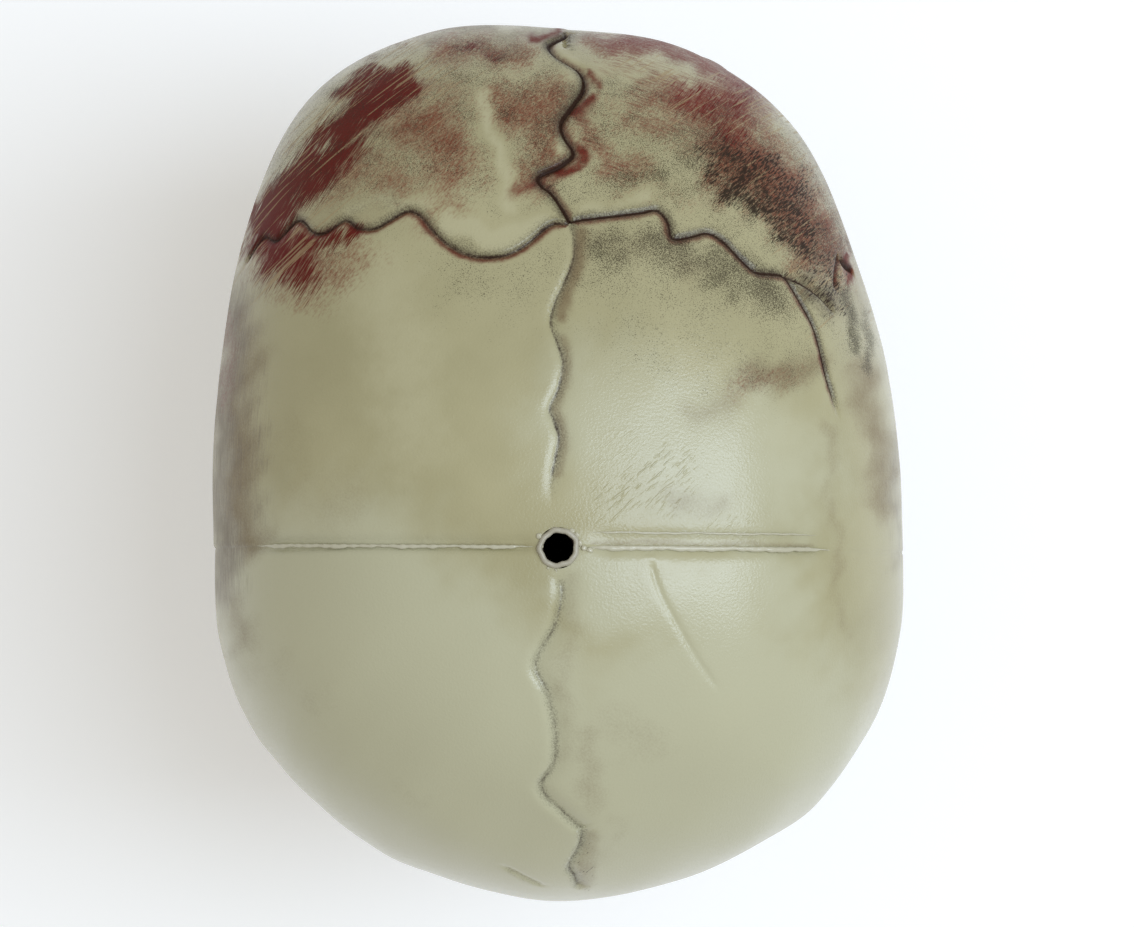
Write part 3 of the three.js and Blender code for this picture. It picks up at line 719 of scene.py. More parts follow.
@dataclass(frozen=True)
class ToothRow:
    """One row's tooth kinds and sizes along the arch, and how long each root swells the bone."""

    kinds: tuple[ToothKind, ...] = (
        ToothKind.INCISOR, ToothKind.INCISOR, ToothKind.CANINE,
        ToothKind.PREMOLAR, ToothKind.PREMOLAR, ToothKind.MOLAR, ToothKind.MOLAR,
    )
    width_shares: tuple[float, ...] = (0.15, 0.115, 0.135, 0.123, 0.119, 0.182, 0.176)
    thickness_shares: tuple[float, ...] = (0.72, 0.72, 0.86, 0.95, 0.98, 1.1, 1.1)
    root_lengths: tuple[float, ...] = (13, 12, 18, 13, 12, 10, 9)
    root_start: float = 1.0
    root_lean: float = 1.2
    root_shares: tuple[float, float] = (0.34, 0.2)
    root_fillet: float = 1.5
    thickness: float = 8.6
    height: float = 10.0
    sink: float = 2.0
    bite: float = 0.198 * OVERALL.height
    bite_gap: float = 0.6

    def stations(self, arch: DentalArch) -> list[tuple[Array, Array, float]]:
        """Each left tooth's place, outward direction and width.

        Args:
            arch: The arch that the row follows.

        Returns:
            Rows of a place (x, y), a direction (x, y) and a width in millimetres.
        """
        line = arch.half_line()
        run = gone_along(line)
        rows = []
        start = 0.0
        for share in self.width_shares:
            middle = (start + share / 2) * run[-1]
            at = np.array([np.interp(middle, run, line[:, k]) for k in (0, 1)])
            ahead = np.array([np.interp(middle + 1, run, line[:, k]) for k in (0, 1)])
            along = (ahead - at) / np.linalg.norm(ahead - at)
            rows.append((at, np.array([along[1], -along[0]]), share * run[-1]))
            start += share
        return rows

    def roots(self, q: Array, arch: DentalArch, neck: float, upwards: int, bulge: float) -> Array:
        """Distance to the swellings that the roots make in the bone.

        Args:
            q: Points on the left side, one a row.
            arch: The arch that the row follows.
            neck: The level of the teeth's necks.
            upwards: 1 for roots that go up, -1 for roots that go down.
            bulge: How far out of the arch's line the swellings lie.

        Returns:
            One distance for each point.
        """
        d = np.full(len(q), FAR)
        for (at, out, width), root in zip(self.stations(arch), self.root_lengths):
            top = np.array([*(at + out * bulge), neck + self.root_start * upwards])
            tip = np.array([*(at + out * (bulge - self.root_lean)), neck + root * upwards])
            d = np.minimum(d, bar(q, top, tip, *(share * width for share in self.root_shares)))
        return d


UPPER_ARCH = DentalArch()
LOWER_ARCH = DentalArch(size=0.94)
TEETH = ToothRow()


@dataclass(frozen=True)
class Hinge:
    """The jaw's hinge: its axis, and the faces along it on the left side."""

    forward: float = 0.15 * OVERALL.front
    level: float = 0.392 * OVERALL.height
    boss_radius: float = 6.0
    boss_face: float = 45.95
    bore: float = 2.3
    hub_inner: float = 47.75
    hub_outer: float = 55.75
    hub_radius: float = 7.5
    bore_end: float = 33.0

    def across(self, p: Array) -> Array:
        """Distance from the hinge's axis."""
        return np.hypot(p[:, 1] + self.forward, p[:, 2] - self.level)

    def at(self, x: float) -> Array:
        """The place on the axis at a distance from the middle of the skull."""
        return np.array([x, -self.forward, self.level])


HINGE = Hinge()


@dataclass(frozen=True)
class Knob:
    """One ball of a chain of ridges, joined to the ball before it by a tapered bar."""

    place: Shares
    radius: float
    softness: float = 7.0

    def strut(self, q: Array, other: "Knob") -> Array:
        """Distance to the tapered bar between this ball and another."""
        return bar(q, OVERALL.place(self.place), OVERALL.place(other.place), self.radius, other.radius)


@dataclass(frozen=True)
class Cranium:
    """The closed outside of the braincase, face and upper jaw."""

    widest: float = 0.673 * OVERALL.height
    base: float = 0.281 * OVERALL.height
    crown_fullness: float = 2.3
    base_fullness: float = 2.6
    left_outline_shares: tuple[float, ...] = (
        1, 1.066, 1.136, 1.1, 1.05, 1.02, 1, 1.016, 1.019, 1.006, 1, 0.99, 1)
    right_outline_shares: tuple[float, ...] = (
        1, 1.03, 1.06, 1.028, 1.016, 1.004, 1, 1.021, 1.035, 1.036, 1.012, 1.0, 1)
    soft: float = 7.0
    firm: float = 3.0
    crisp: float = 2.0
    ridge_thickness: float = 12.5
    ridge_top: float = 0.32 * OVERALL.height
    root_bulge: float = 4.4
    socket: Socket = Socket()
    nose: NoseOpening = NoseOpening()
    plate_fillet: float = 1.5
    temple: Lump = Lump((1.19, 0.42, 0.5), (33, 38, 34))
    upper_jaw: Lump = Lump((0, 0.745, 0.32), (34, 24, 32))
    throat: Lump = Lump((0, 0.51, 0.36), (27.5, 38, 22))
    under_cheek: Lump = Lump((0.92, 0.53, 0.452), (20, 17, 20))
    neck_dish: Lump = Lump((0, -0.204, 0.281), (15, 18, 4))
    jaw_room: tuple[Shares, Shares] = ((0.507, 0.673, 0.12), (2, 0.03, 0.43))
    jaw_room_rounding: float = 9.0
    mastoid: tuple[Knob, Knob] = (Knob((0.7, -0.15, 0.43), 12.5), Knob((0.68, -0.12, 0.318), 7.5))
    ridges: tuple[Knob, ...] = (
        Knob((0, 0.912, 0.592), 9.5),
        Knob((0.387, 0.876, 0.612), 9),
        Knob((0.66, 0.742, 0.567), 7.5),
        Knob((0.725, 0.726, 0.502), 6.3),
        Knob((0.713, 0.717, 0.452), 7.5),
        Knob((0.64, 0.735, 0.41), 11.5),
        Knob((0.427, 0.858, 0.42), 6),
        Knob((0.2, 0.915, 0.438), 5.5),
        Knob((0.127, 0.92, 0.512), 6, 3.0),
        Knob((0, 0.93, 0.576), 7, 3.0),
        Knob((0, 0.99, 0.484), 6, 3.0),
    )
    arch_path: tuple[Shares, ...] = (
        (0.7, 0.7, 0.412), (0.84, 0.566, 0.419), (0.9, 0.398, 0.428), (0.893, 0.239, 0.437),
        (0.84, 0.06, 0.446),
    )
    arch_end: float = 6.4
    arch_middle: float = 4.3
    arch_spacing: float = 9.0
    arch_flatness: float = 1.3
    arch_fillet: float = 5.0

    def braincase(self, p: Array) -> Array:
        """Distance to the plain braincase."""
        across = p[:, 0] / OVERALL.half_breadth
        ahead = -p[:, 1] / np.where(p[:, 1] < 0, OVERALL.front, OVERALL.back)
        above = p[:, 2] > self.widest
        span = np.where(above, OVERALL.height - self.widest, self.widest - self.base)
        rise = np.abs(p[:, 2] - self.widest) / span
        fullness = np.where(above, self.crown_fullness, self.base_fullness)
        ring = self.left_outline_shares + self.right_outline_shares[-2:0:-1]
        outline = closed_curve(ring, np.arctan2(p[:, 0], -p[:, 1]) / (2 * np.pi))
        plan = np.hypot(across, ahead) / outline
        size = (plan**fullness + rise**fullness) ** (1 / fullness)
        reach = np.sqrt(p[:, 0] ** 2 + p[:, 1] ** 2 + (p[:, 2] - self.widest) ** 2)
        return reach * (1 - 1 / np.maximum(size, TINY))

    def tooth_ridge(self, q: Array) -> Array:
        """Distance to the ridge that carries the upper teeth, with a swelling over each root."""
        neck = TEETH.bite + TEETH.height - TEETH.sink
        side = np.abs(UPPER_ARCH.distance(q)) - self.ridge_thickness / 2
        end = q[:, 1] - UPPER_ARCH.centre - UPPER_ARCH.straight
        around = np.maximum(side, q[:, 2] - self.ridge_top)
        ridge = -blend(-around, -np.maximum(neck - q[:, 2], end), self.firm)
        return blend(ridge, TEETH.roots(q, UPPER_ARCH, neck, 1, self.root_bulge), TEETH.root_fillet)

    def above_teeth(self, q: Array) -> Array:
        """Distance to the bone above the upper teeth, cut off level at the foot of their ridge."""
        foot = TEETH.bite + TEETH.height - TEETH.sink - q[:, 2]
        return -blend(-self.upper_jaw.form(q), -foot, self.firm)

    def cheek_arch(self, q: Array) -> Array:
        """Distance to the bar from the cheekbone back to the braincase, flattened from side to side."""
        flat = np.array([self.arch_flatness, 1.0, 1.0])
        path = open_curve(np.array([OVERALL.place(s) for s in self.arch_path]), self.arch_spacing) * flat
        share = np.linspace(0, 1, len(path))
        radii = self.arch_end + (self.arch_middle - self.arch_end) * np.sin(np.pi * share)
        d = np.full(len(q), FAR)
        for a, b, radius_a, radius_b in zip(path, path[1:], radii, radii[1:]):
            d = np.minimum(d, bar(q * flat, a, b, radius_a, radius_b))
        return d / self.arch_flatness

    def boss(self, q: Array) -> Array:
        """Distance to the post that each hinge screw goes into."""
        return np.maximum(HINGE.across(q) - HINGE.boss_radius, q[:, 0] - HINGE.boss_face)

    def hollow(self, p: Array) -> Array:
        """Distance to the outside without the arches and posts, which are solid inside.

        Args:
            p: Points, one a row.

        Returns:
            One distance for each point, negative in the plastic and the space inside it.
        """
        q = left_side(p)
        d = carve(self.braincase(p), self.temple.form(q), self.soft)
        d = blend(d, self.above_teeth(q), self.soft)
        d = blend(d, self.throat.form(q), self.soft)
        d = blend(d, self.tooth_ridge(q), self.firm)
        for start, end in zip(self.ridges, self.ridges[1:]):
            d = blend(d, start.strut(q, end), end.softness)
        d = carve(d, self.socket.form(q), self.firm)
        d = carve(d, self.nose.form(q), self.crisp)
        d = blend(d, self.nose.plate(q), self.plate_fillet)
        d = carve(d, self.under_cheek.form(q), self.firm)
        low, high = (OVERALL.place(corner) for corner in self.jaw_room)
        d = carve(d, rounded_box(q, low, high, self.jaw_room_rounding), self.firm)
        return carve(d, self.neck_dish.form(q), self.firm)

    def form(self, p: Array) -> Array:
        """Distance to the whole outside.

        Args:
            p: Points, one a row.

        Returns:
            One distance for each point, negative in the plastic and the space inside it.
        """
        q = left_side(p)
        d = blend(self.hollow(p), self.cheek_arch(q), self.arch_fillet)
        start, end = self.mastoid
        return np.minimum(blend(d, start.strut(q, end), self.soft), self.boss(q))


CRANIUM = Cranium()


# Lines moulded into the skull, and the strokes painted on it, placed by the photograph's pixels


@dataclass(frozen=True)
class Groove:
    """A moulded line with a crisp edge on its right hand and a soft slope on its left, as it is walked.

    The line is drawn by pixels where the photograph shows it, and else by shares of the skull's sizes.
    """

    name: str
    pixels: tuple[Pixel, ...] = ()
    places: tuple[Shares, ...] = ()
    depth: float = 1.0
    ink: float = 1.0
    red: float = 0.0
    crisp: float = 0.42
    soft: float = 1.1
    halo: tuple[float, float] = (1.5, 1.1)
    red_side: int = 1
    fades: tuple[float, float] = (2.0, 2.0)
    wobble: float = 0.0
    mirrored: bool = False
    pixel_spacing: float = 6.0
    knot_spacing: float = 1.5

    def trace(self, form: Field, spacing: float) -> list[Array]:
        """The line on the form.

        Args:
            form: The form.
            spacing: The distance between its points.

        Returns:
            The line's points, and those of its mirror image where it has one.
        """
        if self.pixels:
            knots = CAMERA.on_form(form, open_curve(np.array(self.pixels), self.pixel_spacing))
            return [open_curve(knots, spacing)]
        drawn = open_curve(np.array([OVERALL.place(s) for s in self.places]), self.knot_spacing)
        runs = [settle(form, drawn, 0, 16)]
        if self.mirrored:
            runs.append(settle(form, (runs[0] * [-1, 1, 1])[::-1], 0, 8))
        return [open_curve(self._wobbled(form, run), spacing) for run in runs]

    def _wobbled(self, form: Field, run: Array) -> Array:
        """A line with the small zigzag of a bone seam."""
        if not self.wobble:
            return run
        side = np.cross(slope_of(form, run), unit(np.gradient(run, axis=0)))
        way = self.knot_spacing * np.arange(len(run))
        sway = np.sin(way / 1.7) + 0.6 * np.sin(way / 0.93 + 1) + 0.5 * np.sin(way / 4.1 + 2)
        return settle(form, run + self.wobble * sway[:, None] * side, 0, 4)


GROOVES = (
    Groove("brow_seam", depth=1.0, red=0.5, halo=(1.8, 0.9), fades=(0, 0), pixels=((568, 24), (566, 34),
        (549, 44), (556, 56), (580, 72), (583, 88), (573, 104), (561, 122), (564, 136), (573, 152),
        (560, 165), (539, 175), (541, 184), (551, 192), (561, 206), (570, 222))),
    Groove("crown_seam_front", depth=0.65, ink=0.62, crisp=0.8, soft=2.1, halo=(0.5, 1.3), fades=(0, 10),
        pixels=((570, 222), (574, 240), (573, 260), (564, 283), (555, 303), (551, 323), (558, 344),
        (563, 364), (559, 387), (550, 408), (554, 420), (559, 438), (555, 460), (551, 485), (552, 512))),
    Groove("crown_seam_rear", depth=0.95, ink=0.52, crisp=1.0, soft=2.3, halo=(1.1, 0.9), fades=(3, 0),
        pixels=((556, 572), (562, 592), (555, 625), (536, 664), (547, 692), (555, 730), (554, 765),
        (541, 787), (548, 802), (558, 811), (582, 832))),
    Groove("crown_seam_tail", depth=0.9, ink=0.58, soft=1.6, halo=(1.2, 1.2), fades=(0, 3),
        pixels=((582, 832), (580, 849), (569, 870), (574, 880), (579, 893))),
    Groove("forehead_seam_left", depth=0.8, ink=0.74, soft=0.9, red=0.65, halo=(1.7, 0.9), fades=(0, 0),
        pixels=((570, 222), (550, 224), (524, 245), (501, 255), (473, 255), (450, 245), (433, 230),
        (420, 215), (407, 210), (389, 219), (374, 227), (356, 227), (343, 219), (323, 231), (310, 231),
        (295, 219), (272, 239), (259, 236), (244, 258))),
    Groove("forehead_seam_right", depth=0.6, ink=0.9, soft=0.8, red=0.6, halo=(1.2, 1.6), red_side=-1,
        fades=(0, 8), pixels=((570, 222), (581, 219), (617, 215), (642, 212), (657, 210), (668, 222),
        (673, 238), (693, 236), (708, 233), (724, 242), (742, 260), (757, 272), (777, 274), (787, 278),
        (800, 298), (813, 321), (821, 344), (828, 374), (836, 400), (843, 424))),
    Groove("temple_fork_right", depth=0.7, ink=0.8, fades=(0, 2), pixels=((785, 276), (803, 283),
        (821, 295), (838, 313))),
    Groove("temple_notch_outer", depth=0.9, red=0.9, fades=(1, 2), pixels=((856, 270), (846, 262),
        (841, 253))),
    Groove("temple_notch_inner", depth=0.9, red=0.6, fades=(1, 3), pixels=((841, 253), (838, 270),
        (837, 292))),
    Groove("knife_mark", depth=0.3, ink=0.0, crisp=0.62, soft=0.62, fades=(2, 6), pixels=((650, 560),
        (660, 592), (676, 622), (698, 660), (722, 695))),
    Groove("low_left_mark", depth=0.45, ink=0.3, fades=(4, 3), pixels=((496, 866), (515, 876),
        (545, 890))),
    Groove("forehead_side_left", depth=0.9, ink=0.8, red=0.4, wobble=0.3, fades=(2, 5),
        places=((0.93, 0.66, 0.69), (1.02, 0.62, 0.645), (1.0, 0.56, 0.6), (0.98, 0.58, 0.55))),
    Groove("ear_seam", depth=0.8, ink=0.7, wobble=0.3, mirrored=True, fades=(5, 5),
        places=((0.93, 0.5, 0.53), (0.97, 0.33, 0.61), (1.0, 0.1, 0.655), (1.0, -0.12, 0.63),
        (0.98, -0.28, 0.55), (0.94, -0.33, 0.48))),
    Groove("neck_seam_left", depth=0.9, ink=0.75, wobble=0.75, mirrored=True, fades=(0, 5),
        places=((0.0, -0.664, 0.66), (0.2, -0.645, 0.62), (0.42, -0.6, 0.57), (0.66, -0.5, 0.51),
        (0.86, -0.38, 0.45))),
    Groove("cheek_seam", depth=0.6, ink=0.6, wobble=0.25, mirrored=True, fades=(2, 2),
        places=((0.52, 0.83, 0.43), (0.56, 0.8, 0.39), (0.6, 0.76, 0.355))),
    Groove("eye_corner_seam", depth=0.6, ink=0.6, wobble=0.3, mirrored=True, fades=(2, 3),
        places=((0.73, 0.77, 0.545), (0.79, 0.72, 0.535), (0.84, 0.64, 0.53))),
    Groove("nose_seam", depth=0.7, ink=0.75, wobble=0.3, fades=(0, 4), places=((-0.026, 1.0, 0.676),
        (0.0, 1.0, 0.65), (-0.012, 0.99, 0.62), (0, 0.98, 0.6), (0, 0.99, 0.575))),
    Groove("nose_side_seam", depth=0.5, ink=0.5, wobble=0.2, mirrored=True, fades=(2, 2),
        places=((0.02, 0.99, 0.58), (0.08, 0.97, 0.56), (0.12, 0.97, 0.535))),
)


@dataclass
class Lines:
    """All the moulded lines as one set of closely spaced points, so that a place can find the nearest."""

    form: Field
    spacing: float = 0.4
    slope_step: float = 1.5
    points: Array = field(init=False)
    along: Array = field(init=False)
    out: Array = field(init=False)
    soft_side: Array = field(init=False)
    traits: Array = field(init=False)
    tree: KDTree = field(init=False)

    def __post_init__(self) -> None:
        """Traces the lines."""
        rows, ways, traits = [], [], []
        for groove in GROOVES:
            for run in groove.trace(self.form, self.spacing):
                gone = gone_along(run)
                ends = zip(groove.fades, (gone, gone[-1] - gone))
                start, end = (smoothstep(-TINY, max(fade, TINY), way) for fade, way in ends)
                rows.append(run)
                ways.append(unit(np.gradient(run, axis=0)))
                red = groove.red * groove.red_side
                trait = np.array([groove.depth, groove.ink, red, groove.crisp, groove.soft, *groove.halo])
                kept = np.tile(trait, (len(run), 1))
                kept[:, :3] *= (start * end)[:, None]
                traits.append(kept)
        self.points, self.along, self.traits = np.vstack(rows), np.vstack(ways), np.vstack(traits)
        self.out = unit(slope_of(self.form, self.points, self.slope_step))
        self.soft_side = np.cross(self.out, self.along)
        self.tree = KDTree(len(self.points))
        for i, point in enumerate(self.points):
            self.tree.insert(point, i)
        self.tree.balance()

    def _close(self, p: Array, reach: float) -> Array:
        """Which places may lie within reach of a line, by the small cubes that they lie in."""
        rows = np.array([1, 1000, 1_000_000])
        steps = np.argwhere(np.ones((3, 3, 3))) - 1
        cubes = np.unique(np.floor(self.points / reach).astype(int) @ rows)
        return np.isin(np.floor(p / reach).astype(int) @ rows, (cubes[:, None] + steps @ rows).ravel())

    def near(self, p: Array, reach: float = 7.0) -> tuple[Array, Array]:
        """The signed distance from each place to the nearest line, and that line's traits.

        Args:
            p: Places, one a row.
            reach: The largest distance that matters.

        Returns:
            The distances, positive on the soft side, and rows of depth, ink, red (negative where it lies on
            the crisp side), the groove's crisp and soft widths, and the halo's widths on those sides.
        """
        signed = np.full(len(p), FAR)
        traits = np.tile([0, 0, 0, 1.0, 1.0, 1.0, 1.0], (len(p), 1))
        for i in np.flatnonzero(self._close(p, reach)):
            _, j, gap = self.tree.find(p[i])
            if gap < reach:
                off = p[i] - self.points[j]
                slide = min(max(off @ self.along[j], -self.spacing), self.spacing)
                off = off - slide * self.along[j]
                off = off - (off @ self.out[j]) * self.out[j]
                signed[i] = math.copysign(math.sqrt(off @ off), off @ self.soft_side[j])
                traits[i] = self.traits[j]
        return signed, traits


@dataclass(frozen=True)
class SeamBand:
    """A trimmed band along the seam on one side of the crown tube, from one pixel column to another."""

    start: float
    end: float
    front: float
    back: float
    depth: float
    taper: float
    ease: float = 0.25

    def cover(self, p: Array) -> Array:
        """How far a place lies in the band, from 0 to 1."""
        x = CAMERA.crown[0] - CAMERA.pixels_per_mm * p[:, 0]
        low, high = sorted((self.start, self.end))
        inside = smoothstep(low, low + self.taper, x) * (1 - smoothstep(high - self.taper, high, x))
        begun, ended = (smoothstep(y - self.ease, y + self.ease, p[:, 1]) for y in (self.front, self.back))
        return inside * begun * (1 - ended)


@dataclass(frozen=True)
class Relief:
    """The fine relief of the outside: moulded lines, the seam between the shells, and shallow dents."""

    bands: tuple[SeamBand, ...] = (
        SeamBand(start=540, end=262, front=-1.9, back=0.9, depth=0.55, taper=14),
        SeamBand(start=580, end=815, front=-3.2, back=1.3, depth=0.42, taper=26),
    )
    parting_depth: float = 0.22
    parting_width: float = 0.4
    left_step: float = 0.4
    lip: float = 0.1
    lip_width: float = 1.5
    dents: tuple[float, float] = (0.16, 0.34)
    small_dents: tuple[float, float] = (0.03, 0.12)
    rim: float = 0.6

    def lumps(self, p: Array) -> Array:
        """Shallow dents and swellings, strongest on the rear half."""
        x, y, z = p.T
        wave = np.sin(x / 7.3 + 1.1 * np.sin(y / 9.1)) * np.sin(y / 8.2 + 0.7) * np.cos(z / 9.5 + 0.4)
        small = np.sin(x / 3.7 - y / 5.3 + 1.3) * np.sin(y / 4.1 + z / 6.1)
        rear = smoothstep(2, 45, y)
        rim = self.rim * smoothstep(35, 60, np.maximum(np.abs(x), y))
        large, fine = (ahead + behind * rear for ahead, behind in (self.dents, self.small_dents))
        return large * wave + fine * small - rim

    def height(self, p: Array, lines: Lines) -> Array:
        """How far each place of the outside moves out.

        Args:
            p: Places on the plain outside, one a row.
            lines: The moulded lines.

        Returns:
            One height for each place, negative where it is sunk.
        """
        signed, traits = lines.near(p)
        depth, crisp, soft = traits[:, 0], traits[:, 3], traits[:, 4]
        groove = np.exp(-((signed / np.where(signed > 0, soft, crisp)) ** 2))
        raised = np.exp(-(((signed + self.lip_width + crisp) / self.lip_width) ** 2))
        total = self.lumps(p) - depth * (groove - self.lip * raised)
        top = smoothstep(130, 150, p[:, 2])
        for band in self.bands:
            total -= top * band.depth * band.cover(p)
        total -= self.parting_depth * np.exp(-((p[:, 1] / self.parting_width) ** 2))
        behind = smoothstep(0, 0.3, p[:, 1]) * (1 - smoothstep(6, 30, p[:, 1]))
        return total - self.left_step * behind * smoothstep(40, 66, p[:, 0])


@dataclass(frozen=True)
class Stroke:
    """A brush stroke seen from above, along pixels of the photograph."""

    coat: str
    pixels: tuple[Pixel, ...]
    half_width: float
    strength: float = 1.0
    softness: float = 12.0
    ragged: float = 1.0

    def cover(self, at: Array) -> Array:
        """How strongly the stroke covers pixels, with an edge that wanders as far as it is ragged."""
        sway = 5 * np.sin(at[:, ::-1] / 15 + [0, 2])
        at = at + self.ragged * (sway + 3 * np.sin((at + sway)[:, ::-1] / 5.7 + at / 9.1))
        d = off_line(at, np.array(self.pixels, float))
        low, high = self.half_width - self.softness, self.half_width + self.softness
        return self.strength * (1 - smoothstep(low, high, d))


@dataclass(frozen=True)
class Dab:
    """A dab of paint on a part that the photograph doesn't show, on both sides of the skull."""

    coat: str
    place: Shares
    radius: float
    strength: float = 1.0
    core: float = 0.35

    def cover(self, p: Array) -> Array:
        """How strongly the dab covers places."""
        d = np.linalg.norm(left_side(p) - OVERALL.place(self.place), axis=1)
        return self.strength * (1 - smoothstep(self.core * self.radius, self.radius, d))


def strokes(coat: str, *rows: tuple, ragged: float = 1.0) -> list[Stroke]:
    """Strokes of one coat, from rows of a half width, a strength, a softness and pixels."""
    return [Stroke(coat, row[3:], *row[:3], ragged) for row in rows]


def dabs(coat: str, *rows: tuple) -> list[Dab]:
    """Dabs of one coat, from rows of a place, a radius and a strength."""
    return [Dab(coat, *row) for row in rows]


